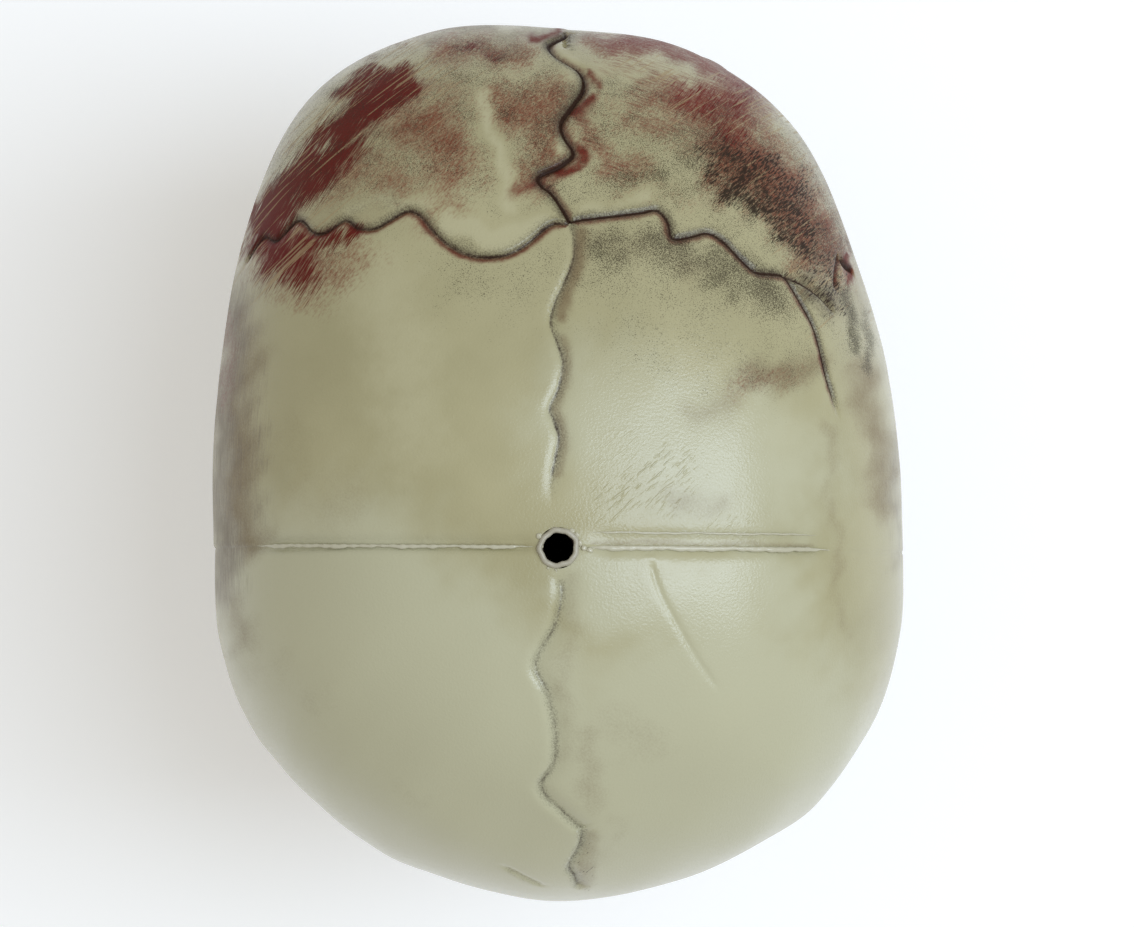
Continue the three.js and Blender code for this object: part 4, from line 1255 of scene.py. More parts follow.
STROKES = (
    *strokes("red", (21, 1.14, 18, (400, 84), (374, 106), (344, 134), (316, 166)),
        (24, 1.14, 18, (316, 166), (292, 192), (272, 226)), (11, 0.95, 9, (346, 90), (376, 76)),
        (6, 0.7, 6, (376, 70), (412, 66)), (26, 0.82, 20, (262, 244), (276, 262), (300, 272)),
        (11, 0.85, 9, (300, 240), (352, 234)), (20, 0.66, 20, (690, 94), (742, 108)),
        (14, 0.62, 14, (722, 128), (742, 142)), (7, 0.5, 10, (466, 52), (506, 56)),
        (5, 0.55, 7, (366, 44), (410, 40))),
    *strokes("streak", (16, 0.95, 12, (616, 40), (690, 52), (748, 88)),
        (12, 0.55, 14, (600, 62), (690, 76), (752, 96)), (26, 0.8, 18, (650, 96), (720, 92), (758, 110)),
        (20, 0.55, 18, (640, 120), (700, 132), (748, 150)),
        (12, 0.75, 12, (590, 128), (600, 156), (622, 166)), (12, 0.6, 12, (430, 44), (500, 50))),
    *strokes("scratch", (62, 0.8, 30, (410, 70), (330, 150), (270, 240)),
        (46, 0.74, 30, (640, 90), (760, 120), (830, 280))),
    *strokes("blush", (5, 0.8, 6, (536, 36), (558, 42), (562, 34)), (4, 0.75, 6, (588, 68), (594, 86)),
        (7, 0.9, 9, (594, 98), (582, 118)), (5, 1.0, 8, (582, 148), (572, 168), (550, 178)),
        (8, 0.6, 10, (516, 182), (534, 186)), (4, 0.9, 5, (842, 258), (846, 284))),
    *strokes("pink", (36, 0.85, 32, (390, 110), (430, 122), (448, 166)),
        (28, 0.65, 26, (340, 170), (400, 180), (440, 200)), (20, 0.5, 18, (446, 190), (462, 226)),
        (26, 0.9, 20, (500, 104), (550, 104), (548, 146)), (16, 0.75, 14, (518, 172), (542, 186)),
        (16, 0.8, 16, (440, 56), (520, 48)), (32, 0.85, 26, (276, 252), (330, 264), (352, 262)),
        (14, 0.5, 14, (286, 300), (330, 300)), (30, 0.9, 26, (704, 100), (742, 108), (744, 128)),
        (18, 0.9, 18, (664, 98), (700, 92)), (16, 0.75, 16, (748, 112), (786, 152)),
        (24, 0.45, 22, (612, 110), (660, 132), (720, 150)),
        (13, 0.8, 12, (596, 42), (690, 50), (750, 84)),
        (18, 0.55, 16, (596, 130), (600, 160), (640, 168)),
        (34, 1.08, 26, (734, 160), (784, 190), (816, 240)), (18, 0.6, 20, (820, 250), (838, 284)),
        (12, 0.35, 12, (620, 192), (690, 200)), (10, 0.6, 12, (228, 310), (226, 400)),
        (13, 0.42, 14, (744, 392), (800, 366))),
    *strokes("black", (25, 1.0, 17, (716, 160), (760, 172), (796, 192)),
        (27, 1.02, 17, (738, 186), (786, 206), (802, 232)), (12, 0.7, 10, (700, 148), (728, 140)),
        (12, 0.6, 16, (788, 170), (812, 220)), (16, 0.85, 14, (806, 236), (832, 290)),
        (12, 0.8, 12, (790, 268), (826, 298), (842, 314)), (6, 0.6, 8, (540, 176), (548, 190)),
        (9, 0.5, 12, (582, 846), (588, 884)), (6, 0.5, 9, (740, 92), (764, 106))),
    *strokes("shade", (6, 0.4, 8, (846, 292), (854, 322)), ragged=0.5),
    *strokes("shade", (9, 0.8, 10, (575, 96), (566, 122)),
        (8, 0.5, 10, (430, 226), (452, 246), (476, 254)), (9, 0.4, 12, (352, 214), (396, 200)),
        (16, 0.28, 18, (596, 240), (650, 252)), (20, 0.4, 20, (670, 246), (720, 262), (776, 292)),
        (12, 0.75, 14, (800, 280), (836, 306)), (18, 0.35, 22, (744, 380), (800, 366))),
    *strokes("speckle", (8, 1.4, 9, (846, 292), (854, 322), (852, 350)),
        (7, 1.3, 9, (866, 312), (868, 336), (866, 368)), ragged=0.5),
    *strokes("speckle", (95, 0.85, 60, (300, 130), (420, 110), (560, 130), (700, 150), (800, 200)),
        (50, 0.66, 45, (330, 250), (480, 280), (600, 270), (740, 300), (840, 330)),
        (50, 0.6, 40, (600, 250), (640, 340), (780, 360)),
        (28, 1.15, 24, (600, 244), (700, 258), (780, 300)), (16, 1.1, 16, (606, 176), (657, 182)),
        (30, 0.95, 24, (470, 110), (550, 100), (548, 150)), (14, 1.05, 14, (460, 52), (520, 48)),
        (44, 1.05, 26, (700, 150), (820, 240))),
    # Brown along the right of the front crown seam (second and third rows) is partly brown paint and partly
    # painted shade of the seam's step
    *strokes("brown", (10, 0.62, 6, (592, 838), (588, 858), (586, 880)),
        (7, 0.95, 5, (581, 232), (579, 258), (571, 286), (562, 318)),
        (6, 0.8, 6, (563, 340), (568, 368), (563, 390), (557, 410), (564, 440), (559, 474)), ragged=0.2),
    *strokes("brown", (17, 0.85, 18, (760, 378), (806, 366)), (14, 0.55, 16, (700, 412), (740, 402)),
        (15, 0.7, 20, (226, 300), (220, 420), (224, 560), (240, 640)),
        # The first stroke here is painted shade along the right-hand rim, toning down the lamp's light there
        (18, 0.85, 20, (862, 370), (880, 440), (888, 500)), (18, 0.5, 18, (600, 240), (690, 262)),
        (12, 0.42, 14, (578, 580), (566, 640), (566, 760)), (26, 0.3, 26, (610, 722), (650, 752)),
        (12, 0.4, 14, (616, 826), (606, 850)), (12, 0.3, 16, (402, 782), (420, 796)),
        (30, 0.25, 30, (252, 660), (320, 690)), (7, 0.5, 10, (826, 430), (834, 520), (842, 640)),
        (12, 0.2, 16, (480, 520), (300, 540)), (12, 0.25, 14, (340, 480), (344, 540)),
        (22, 0.95, 26, (240, 320), (238, 420), (244, 540)),
        # The second stroke here is painted shade that dims the highlight right of the crown tube
        (44, 0.3, 44, (250, 430), (300, 470), (340, 500)), (16, 0.55, 20, (680, 500), (720, 504)),
        (52, 0.45, 40, (440, 100), (420, 160), (360, 200)), (36, 0.4, 36, (500, 110), (540, 170)),
        (36, 0.3, 36, (600, 150), (700, 190)), (44, 0.5, 30, (700, 130), (790, 200), (840, 290)),
        (36, 0.3, 36, (640, 255), (760, 300))),
    *strokes("brown", (2.4, 0.7, 2.0, (592, 542), (700, 543), (812, 545)),
        (2.0, 0.4, 2.2, (300, 543), (536, 544)), ragged=0.1),
    *strokes("brown", (15, 0.55, 17, (586, 738), (592, 770), (590, 792)), ragged=0.5),
    # Pale: a paler plastic tone over the rear (first row), and painted sheen where the broad highlight lies
    # (second row)
    *strokes("pale", (170, 1.1, 90, (330, 660), (450, 770), (600, 840), (720, 770)),
        (90, 0.8, 70, (600, 420), (760, 470)), (56, 0.9, 44, (600, 590), (700, 610), (770, 600))),
    *strokes("mauve", (22, 1.0, 26, (236, 290), (222, 400), (218, 500), (222, 580)),
        (16, 0.5, 22, (256, 330), (252, 420), (256, 520)), (12, 0.6, 14, (896, 440), (898, 560)),
        (10, 0.9, 12, (430, 34), (530, 30), (640, 42), (720, 66)), (10, 0.6, 12, (800, 130), (816, 180))),
    *strokes("cream", (12, 1.0, 12, (452, 226), (492, 240), (540, 226)),
        (8, 0.8, 8, (560, 60), (574, 78)), (7, 0.6, 9, (352, 212), (388, 204), (440, 196)),
        (5, 0.8, 6, (560, 146), (560, 156)), (7, 0.6, 8, (590, 208), (650, 200)),
        (8, 0.5, 10, (596, 60), (700, 84)), (44, 0.7, 44, (384, 290), (400, 350), (410, 440))),
    *strokes("cream", (6, 0.95, 9, (484, 96), (490, 124), (498, 150), (506, 184), (512, 206)), ragged=0.7),
    *strokes("wrinkle", (20, 1.0, 14, (614, 500), (636, 484), (674, 466)),
        (14, 0.8, 12, (664, 506), (684, 498)), (12, 0.6, 12, (600, 450), (622, 440)),
        (12, 0.5, 12, (706, 522), (740, 528))),
)

DABS = (
    # Dark paint deep in the eye sockets and nose opening, partly standing in for their shade
    *dabs("wash", ((0.34, 0.6, 0.505), 36, 1.3), ((0.0, 0.74, 0.39), 26, 1.3)),
    *dabs("black", ((0.43, 0.97, 0.6), 16, 0.4), ((0.43, 0.92, 0.425), 18, 0.35),
        ((0.97, 0.42, 0.52), 34, 0.7), ((0.75, -0.12, 0.32), 22, 0.6), ((0.3, 0.95, 0.33), 18, 0.45),
        ((0.75, 0.7, 0.4), 14, 0.35), ((0.5, 0.62, 0.02), 24, 0.5), ((0.72, 0.2, 0.2), 24, 0.5)),
    *dabs("red", ((0.8, 0.66, 0.6), 20, 0.8), ((0.18, 1.0, 0.58), 12, 0.6), ((0.56, 0.83, 0.4), 14, 0.7),
        ((0.25, 0.98, 0.27), 14, 0.6), ((0.66, 0.3, 0.1), 22, 0.55)),
    *dabs("pink", ((0.4, 1.0, 0.66), 36, 0.6), ((0.65, 0.78, 0.4), 26, 0.65), ((0.95, 0.3, 0.6), 42, 0.5),
        ((0.3, 0.95, 0.3), 26, 0.5), ((0.5, -0.6, 0.42), 34, 0.45), ((0.3, 0.82, 0.08), 30, 0.6)),
    *dabs("brown", ((0.5, -0.55, 0.45), 50, 0.7), ((0.95, 0.1, 0.45), 50, 0.7),
        ((0.0, 0.7, 0.3), 50, 0.5), ((0.0, 0.0, 0.28), 90, 0.8), ((0.6, 0.35, 0.2), 50, 0.6)),
    *dabs("mauve", ((0.98, 0.3, 0.58), 44, 0.45)),
    *dabs("speckle", ((0.3, 0.95, 0.6), 60, 0.8), ((0.9, 0.4, 0.5), 60, 0.8), ((0.3, 0.8, 0.3), 60, 0.7),
        ((0.8, -0.3, 0.4), 60, 0.6), ((0.4, 0.7, 0.08), 60, 0.8)),
)


@dataclass(frozen=True)
class Painter:
    """Works out how much of each coat lies at each point of a piece, and keeps it as attributes."""

    form: Field
    lines: Lines | None = None
    foot: float = 104.0
    fade: float = 44.0
    skin: tuple[float, float] = (-2.55, -2.35)
    wash_share: float = 0.6
    ink_width: float = 0.33
    red_gap: float = 0.7
    red_width: float = 0.95
    hollow_reaches: tuple[float, float] = (4.0, 14.0)

    def paint(self, piece: Piece) -> None:
        """Gives a piece its coats.

        Args:
            piece: The piece, with its outside on the painter's form.
        """
        p = mesh_points(piece)
        coats = {name: np.zeros(len(p)) for name in COATS}
        if self.lines:
            at = CAMERA.pixels(p)
            seen = smoothstep(self.foot, self.foot + self.fade, p[:, 2])
            for stroke in STROKES:
                coats[stroke.coat] = np.maximum(coats[stroke.coat], seen * stroke.cover(at))
            clean = 1 - np.clip(coats["cream"], 0, 1)
            for name in ("brown", "pink", "speckle"):
                coats[name] *= clean
            self._add_lines(coats, p)
        for dab in DABS:
            coats[dab.coat] = np.maximum(coats[dab.coat], dab.cover(p))
        outside = smoothstep(*self.skin, self.form(p))
        # Dark paint in the sockets and nose, with painted shade added as deep as each point lies in a hollow
        coats["wash"] = np.maximum(coats["wash"] * self.wash_share, self._hollows(p))
        for name, values in coats.items():
            keep(piece, name, values * outside)

    def _hollows(self, p: Array) -> Array:
        """How deep each point lies in a hollow, from 0 to 1, which sets how dark the painted shade is there.
        """
        out = unit(slope_of(self.form, p, 0.3))
        near, far = (1 - self.form(p + reach * out) / reach for reach in self.hollow_reaches)
        return np.clip(0.75 * smoothstep(0.15, 1.0, near) + 0.75 * smoothstep(0.25, 1.1, far), 0, 1)

    def _add_lines(self, coats: dict[str, Array], p: Array) -> None:
        """Adds the ink in the moulded lines, a dark halo beside them that is partly airbrushed paint and
        partly painted shade, and the red rubbed in beside them.
        """
        signed, traits = self.lines.near(p)
        ink, red = traits[:, 1], traits[:, 2]
        coats["ink"] = ink**2 * np.exp(-((signed / self.ink_width) ** 2))
        # The halo: painted shade of the groove's walls, over airbrushed paint
        halo = np.where(signed > 0, traits[:, 6], traits[:, 5])
        coats["shade"] = np.maximum(coats["shade"], ink * np.exp(-((signed / halo) ** 2)))
        beside = np.exp(-(((signed - self.red_gap * np.sign(red)) / self.red_width) ** 2))
        coats["blush"] = np.maximum(coats["blush"], np.abs(red) * beside)


# Solid pieces


@dataclass(frozen=True)
class Shells:
    """The two half shells: their fine outside, plain inside, and the cuts between them."""

    fine_step: float = 1.44
    draft_step: float = 2.2
    inner_step: float = 2.8
    low: tuple[float, float, float] = (-82.0, -124.0, 40.0)
    high: tuple[float, float, float] = (82.0, 80.0, 222.0)
    wall: float = 3.0
    coarse_band: float = 3.2
    fine_band: float = 1.3
    tube_hole: float = 4.06
    tube_hole_span: tuple[float, float] = (-20.0, 10.0)
    post_clearance: float = 4.0
    half_low: tuple[float, float, float] = (-300.0, -300.0, -100.0)
    half_high: tuple[float, float, float] = (300.0, 300.0, 500.0)

    def outside(self, lines: Lines) -> Piece:
        """The whole outside as one closed mesh, with its relief.

        Args:
            lines: The moulded lines.

        Returns:
            The outside.
        """
        step = self.fine_step
        points, quads = Net(step).wrap(CRANIUM.form, np.array(self.low), np.array(self.high), 0)
        skin = mesh_object("outside", settle(CRANIUM.form, points, 0, 2), quads)
        for band in (self.coarse_band, self.fine_band):
            self._refine(skin, lines, band)
        p = mesh_points(skin)
        out = unit(slope_of(CRANIUM.form, p, 0.8))
        set_points(skin, p + Relief().height(p, lines)[:, None] * out)
        return skin

    def _refine(self, skin: Piece, lines: Lines, band: float) -> None:
        """Halves the mesh's edges near the lines and the seam."""
        p = mesh_points(skin)
        signed, traits = lines.near(p, band)
        near = (np.abs(signed) < band) | ((np.abs(p[:, 1]) < 0.8 * band) & (p[:, 2] > self.low[2]))
        shape = bmesh.new()
        shape.from_mesh(skin.data)
        shape.verts.ensure_lookup_table()
        edges = [edge for edge in shape.edges if near[edge.verts[0].index] and near[edge.verts[1].index]]
        bmesh.ops.subdivide_edges(shape, edges=edges, cuts=1, use_grid_fill=True, use_single_edge=True)
        bmesh.ops.triangulate(shape, faces=[face for face in shape.faces if len(face.verts) > 4])
        shape.to_mesh(skin.data)
        shape.free()
        set_points(skin, settle(CRANIUM.form, mesh_points(skin), 0, 1))

    def inside(self) -> Piece:
        """The hollow inside as one closed mesh."""

        def form(p: Array) -> Array:
            """Distance to the plain hollow, which the hinge posts stand in."""
            return np.maximum(CRANIUM.hollow(p), -CRANIUM.boss(left_side(p)) - self.wall)

        points, quads = Net(self.inner_step).wrap(form, np.array(self.low), np.array(self.high), -self.wall)
        skin = mesh_object("inside", points, quads)
        shape = bmesh.new()
        shape.from_mesh(skin.data)
        largest = max(self._islands(shape), key=len)
        bmesh.ops.delete(shape, geom=[v for v in shape.verts if v not in largest], context="VERTS")
        shape.to_mesh(skin.data)
        shape.free()
        return skin

    def _islands(self, shape: bmesh.types.BMesh) -> list[set[bmesh.types.BMVert]]:
        """The separate bodies of a mesh, each as a set of its points."""
        left = set(shape.verts)
        found = []
        while left:
            body = {left.pop()}
            front = list(body)
            while front:
                vert = front.pop()
                for edge in vert.link_edges:
                    other = edge.other_vert(vert)
                    if other in left:
                        left.discard(other)
                        body.add(other)
                        front.append(other)
            found.append(body)
        return found

    def build(self, lines: Lines) -> tuple[Piece, Piece]:
        """Makes both shells.

        Args:
            lines: The moulded lines.

        Returns:
            The front shell and the rear shell.
        """
        front = self.outside(lines)
        cut(front, self.inside())
        start, end = (np.array([0, 0, OVERALL.height + z]) for z in self.tube_hole_span)
        cut(front, round_bar("hole", start, end, self.tube_hole))
        for side in (-1, 1):
            ends = (HINGE.bore_end, HINGE.boss_face + self.post_clearance)
            start, end = (HINGE.at(side * x) for x in ends)
            cut(front, round_bar("hole", start, end, HINGE.bore))
        front.name = front.data.name = "face_shell_moulding"
        rear = placed("rear_shell_moulding", front.data.copy())
        rear.data.name = rear.name
        low, high, flat = np.array(self.half_low), np.array(self.half_high), np.array([1, 0, 1])
        cut(front, mesh_object("rear_space", box_points(low * flat, high), BOX_FACES))
        cut(rear, mesh_object("front_space", box_points(low, high * flat), BOX_FACES))
        return front, rear


@dataclass(frozen=True)
class Jaw:
    """The lower jaw: a tall body swept round the chin, and two upright plates with hubs."""

    foot: tuple[Pixel, ...] = (
        (0.69, 0.335), (0.685, 0.42), (0.62, 0.51), (0.5, 0.64), (0.35, 0.75), (0.2, 0.812), (0, 0.83))
    ridge: tuple[Pixel, ...] = (
        (0.69, 0.3), (0.65, 0.37), (0.44, 0.44), (0.37, 0.56), (0.335, 0.69), (0.23, 0.8), (0, 0.868))
    foot_half: float = 5.5
    ridge_half: float = 4.75
    ridge_height: float = TEETH.bite - TEETH.bite_gap - TEETH.height + TEETH.sink
    plate_middle: float = 51.75
    plate_half: float = 3.25
    outline: tuple[tuple[Pixel, Pixel], ...] = (
        ((0.4, 0.005), (0.32, 0.005)), ((0.205, 0.01), (0.178, 0.07)), ((0.15, 0.18), (0.122, 0.286)),
        ((0.088, 0.34), (0.088, 0.392)), ((0.14, 0.42), (0.205, 0.392)), ((0.23, 0.322), (0.305, 0.318)),
        ((0.385, 0.318), (0.385, 0.395)), ((0.41, 0.415), (0.445, 0.4)), ((0.465, 0.29), (0.475, 0.19)),
        ((0.475, 0.1), (0.47, 0.005)))
    step: float = 1.2
    draft_step: float = 2.2
    low: tuple[float, float, float] = (-66.0, -112.0, -6.0)
    high: tuple[float, float, float] = (66.0, 0.0, 100.0)
    knots: int = 26
    path_spacing: float = 5.0
    waist: float = 1.1
    rounding: float = 3.2
    plate_rounding: float = 1.6
    plate_dish: float = 1.0
    dish_edge: float = 9.0
    fillet: float = 5.0
    hub_fillet: float = 1.0
    chin: Lump = Lump((0, 0.832, 0.05), (17, 8.5, 10))
    chin_side: Lump = Lump((0.2, 0.8, 0.03), (8, 7, 6))
    nerve_hole: Lump = Lump((0.41, 0.76, 0.075), (2.2, 4, 1.8))
    root_bulge: float = 2.9
    neck_rim: float = 0.2
    crest: tuple[Knob, Knob] = (Knob((0.67, 0.455, 0.215), 3.2), Knob((0.49, 0.6, 0.075), 3.4, 9.0))
    hole_clearance: float = 4.0

    def half_path(self, shares: Sequence[Pixel]) -> Array:
        """The left half of a path round the jaw, from the back to the chin."""
        knots = np.array([[x * OVERALL.half_breadth, -y * OVERALL.front] for x, y in shares])
        path = open_curve(np.vstack([knots, knots[-2:-3:-1] * [-1, 1]]), self.path_spacing)
        return np.vstack([path[path[:, 0] > 0], knots[-1:]])

    def body(self, q: Array) -> Array:
        """Distance to the body that goes round the chin."""
        foot, ridge = (self._even(self.half_path(shares)) for shares in (self.foot, self.ridge))
        t = np.clip(q[:, 2] / self.ridge_height, 0, 1)[:, None]
        lines = [low * (1 - t) + high * t for low, high in zip(foot, ridge)]
        d = np.full(len(q), FAR)
        for a, b in zip(lines, lines[1:]):
            along = b - a
            reach = np.clip(((q[:, :2] - a) * along).sum(1) / np.maximum((along**2).sum(1), TINY), 0, 1)
            d = np.minimum(d, np.hypot(*(q[:, :2] - a - reach[:, None] * along).T))
        half = self.foot_half + (self.ridge_half - self.foot_half) * t[:, 0]
        up = np.abs(q[:, 2] - self.ridge_height / 2) - self.ridge_height / 2
        return rounded_edge(d - half + self.waist * np.sin(np.pi * t[:, 0]), up, self.rounding)

    def _even(self, path: Array) -> Array:
        """A path as evenly spaced points."""
        gone = gone_along(path)
        at = np.linspace(0, gone[-1], self.knots)
        return np.stack([np.interp(at, gone, path[:, k]) for k in (0, 1)], 1)

    def plate(self, q: Array) -> Array:
        """Distance to the upright plate."""
        corner = np.array([-0.47 * OVERALL.front, 0.005 * OVERALL.height])
        rim = []
        for towards, end in self.outline:
            middle, last = (np.array([-a * OVERALL.front, u * OVERALL.height]) for a, u in (towards, end))
            t = np.arange(6)[:, None] / 6
            rim.append((1 - t) ** 2 * corner + 2 * t * (1 - t) * middle + t * t * last)
            corner = last
        rim = np.vstack([*rim, rim[0][:1]])
        at = q[:, 1:]
        inside = np.zeros(len(q), bool)
        for a, b in zip(rim, rim[1:]):
            across, up = b - a
            crosses = (a[1] > at[:, 1]) != (b[1] > at[:, 1])
            inside ^= crosses & (at[:, 0] < a[0] + (at[:, 1] - a[1]) * across / (up or TINY))
        d = off_line(at, rim)
        flat = np.where(inside, -d, d)
        dish = self.plate_dish * smoothstep(0, self.dish_edge, -flat)
        side = np.abs(q[:, 0] - self.plate_middle) - self.plate_half + dish
        return rounded_edge(flat, side, self.plate_rounding)

    def form(self, p: Array) -> Array:
        """Distance to the jaw.

        Args:
            p: Points, one a row.

        Returns:
            One distance for each point, negative inside.
        """
        q = left_side(p)
        d = blend(self.body(q), self.chin.form(q), self.fillet)
        d = blend(d, self.chin_side.form(q), self.fillet)
        neck = self.ridge_height
        d = blend(d, TEETH.roots(q, LOWER_ARCH, neck, -1, self.root_bulge), TEETH.root_fillet)
        d = np.maximum(d, q[:, 2] - neck - self.neck_rim)
        d = blend(d, self.plate(q), self.fillet)
        start, end = self.crest
        d = blend(d, start.strut(q, end), end.softness)
        middle, half = (HINGE.hub_inner + HINGE.hub_outer) / 2, (HINGE.hub_outer - HINGE.hub_inner) / 2
        hub = np.maximum(HINGE.across(q) - HINGE.hub_radius, np.abs(q[:, 0] - middle) - half)
        d = carve(blend(d, hub, self.hub_fillet), self.nerve_hole.form(q), 1)
        return np.maximum(d, -q[:, 2])

    def build(self) -> Piece:
        """Makes the jaw without its teeth."""
        step = self.step
        points, quads = Net(step).wrap(self.form, np.array(self.low), np.array(self.high), 0)
        jaw = mesh_object("jaw_moulding", settle(self.form, points, 0, 2), quads)
        for side in (-1, 1):
            ends = (HINGE.hub_inner - self.hole_clearance, HINGE.hub_outer + self.hole_clearance)
            start, end = (HINGE.at(side * x) for x in ends)
            cut(jaw, round_bar("hole", start, end, HINGE.bore))
        return jaw


# Node trees


def add_node(tree: Tree, kind: str, inputs: dict | None = None, **settings: object) -> bpy.types.Node:
    """Adds a node with its settings and links.

    Args:
        tree: The tree that it joins.
        kind: The node's type.
        inputs: Values, or other nodes' outputs, by the input's name or number.
        settings: The node's own settings.

    Returns:
        The node.
    """
    made = tree.nodes.new(kind)
    for key, value in settings.items():
        setattr(made, key, value)
    for key, value in (inputs or {}).items():
        if kind == "ShaderNodeMix" and key != "Factor":
            key = {"A": 6, "B": 7}[key]
        if isinstance(value, NodeSocket):
            tree.links.new(value, made.inputs[key])
        else:
            made.inputs[key].default_value = value
    return made


def linear(colour: str) -> tuple[float, float, float, float]:
    """A linear colour from an sRGB hex value such as #A8A181."""
    parts = [int(colour[i : i + 2], 16) / 255 for i in (1, 3, 5)]
    flat = [c / 12.92 if c <= 0.04045 else ((c + 0.055) / 1.055) ** 2.4 for c in parts]
    return (*flat, 1.0)


def per_size(size_mm: float) -> float:
    """The texture scale at which a pattern's features are a size in millimetres."""
    return 1 / (size_mm * MM)


@dataclass(frozen=True)
class Coat:
    """One coat of paint: it lies where its attribute says, broken up into brush marks or specks."""

    attribute: str
    colour: str
    grain: float
    stretch: float = 1.0
    upright: float = 1.0
    turn: float = 42.0
    detail: float = 3.0
    breakup: float = 0.5
    patch: float = 6.0
    patchiness: float = 0.6
    start: float = 0.35
    full: float = 0.65
    opacity: float = 1.0
    matt: bool = True
    onset: float = 6.0
    mark_roughness: float = 0.62
    patch_roughness: float = 0.6

    def lay(self, tree: Tree, place: NodeSocket, under: NodeSocket) -> tuple[NodeSocket, NodeSocket]:
        """Lays the coat over a colour.

        Args:
            tree: The material's tree.
            place: The place on the object.
            under: The colour that it covers.

        Returns:
            The new colour, and how far the coat covers, from 0 to 1.
        """
        turned = add_node(tree, "ShaderNodeVectorRotate", {"Vector": place, "Angle": math.radians(self.turn)},
                          rotation_type="Z_AXIS")
        drawn = add_node(tree, "ShaderNodeMapping", {
            "Vector": turned.outputs[0], "Scale": (1, 1 / self.stretch, 1 / self.upright)})
        marks = add_node(tree, "ShaderNodeTexNoise", {
            "Vector": drawn.outputs[0], "Scale": per_size(self.grain), "Detail": self.detail,
            "Roughness": self.mark_roughness})
        patches = add_node(tree, "ShaderNodeTexNoise", {
            "Vector": place, "Scale": per_size(self.patch), "Detail": 3.0,
            "Roughness": self.patch_roughness})
        amount = add_node(tree, "ShaderNodeAttribute", attribute_name=self.attribute)
        middle = -0.5 * (self.breakup + self.patchiness)
        broken = add_node(tree, "ShaderNodeMath", {
            0: marks.outputs["Fac"], 1: self.breakup, 2: middle}, operation="MULTIPLY_ADD")
        uneven = add_node(tree, "ShaderNodeMath", {
            0: patches.outputs["Fac"], 1: self.patchiness, 2: broken.outputs[0]}, operation="MULTIPLY_ADD")
        raised = add_node(tree, "ShaderNodeMath", {0: amount.outputs["Fac"], 1: uneven.outputs[0]},
                          operation="ADD")
        cover = add_node(tree, "ShaderNodeMapRange", {
            "Value": raised.outputs[0], "From Min": self.start, "From Max": self.full,
            "To Max": self.opacity}, interpolation_type="SMOOTHSTEP")
        present = add_node(tree, "ShaderNodeMath", {0: amount.outputs["Fac"], 1: self.onset},
                           operation="MULTIPLY", use_clamp=True)
        laid = add_node(tree, "ShaderNodeMath", {0: cover.outputs["Result"], 1: present.outputs[0]},
                        operation="MULTIPLY")
        mixed = add_node(tree, "ShaderNodeMix", {
            "Factor": laid.outputs[0], "A": under, "B": linear(self.colour)}, data_type="RGBA")
        return mixed.outputs[2], laid.outputs[0]


def new_material(name: str) -> tuple[bpy.types.Material, Tree]:
    """A new material and its empty tree."""
    material = bpy.data.materials.new(name)
    material.use_nodes = True
    material.node_tree.nodes.clear()
    return material, material.node_tree


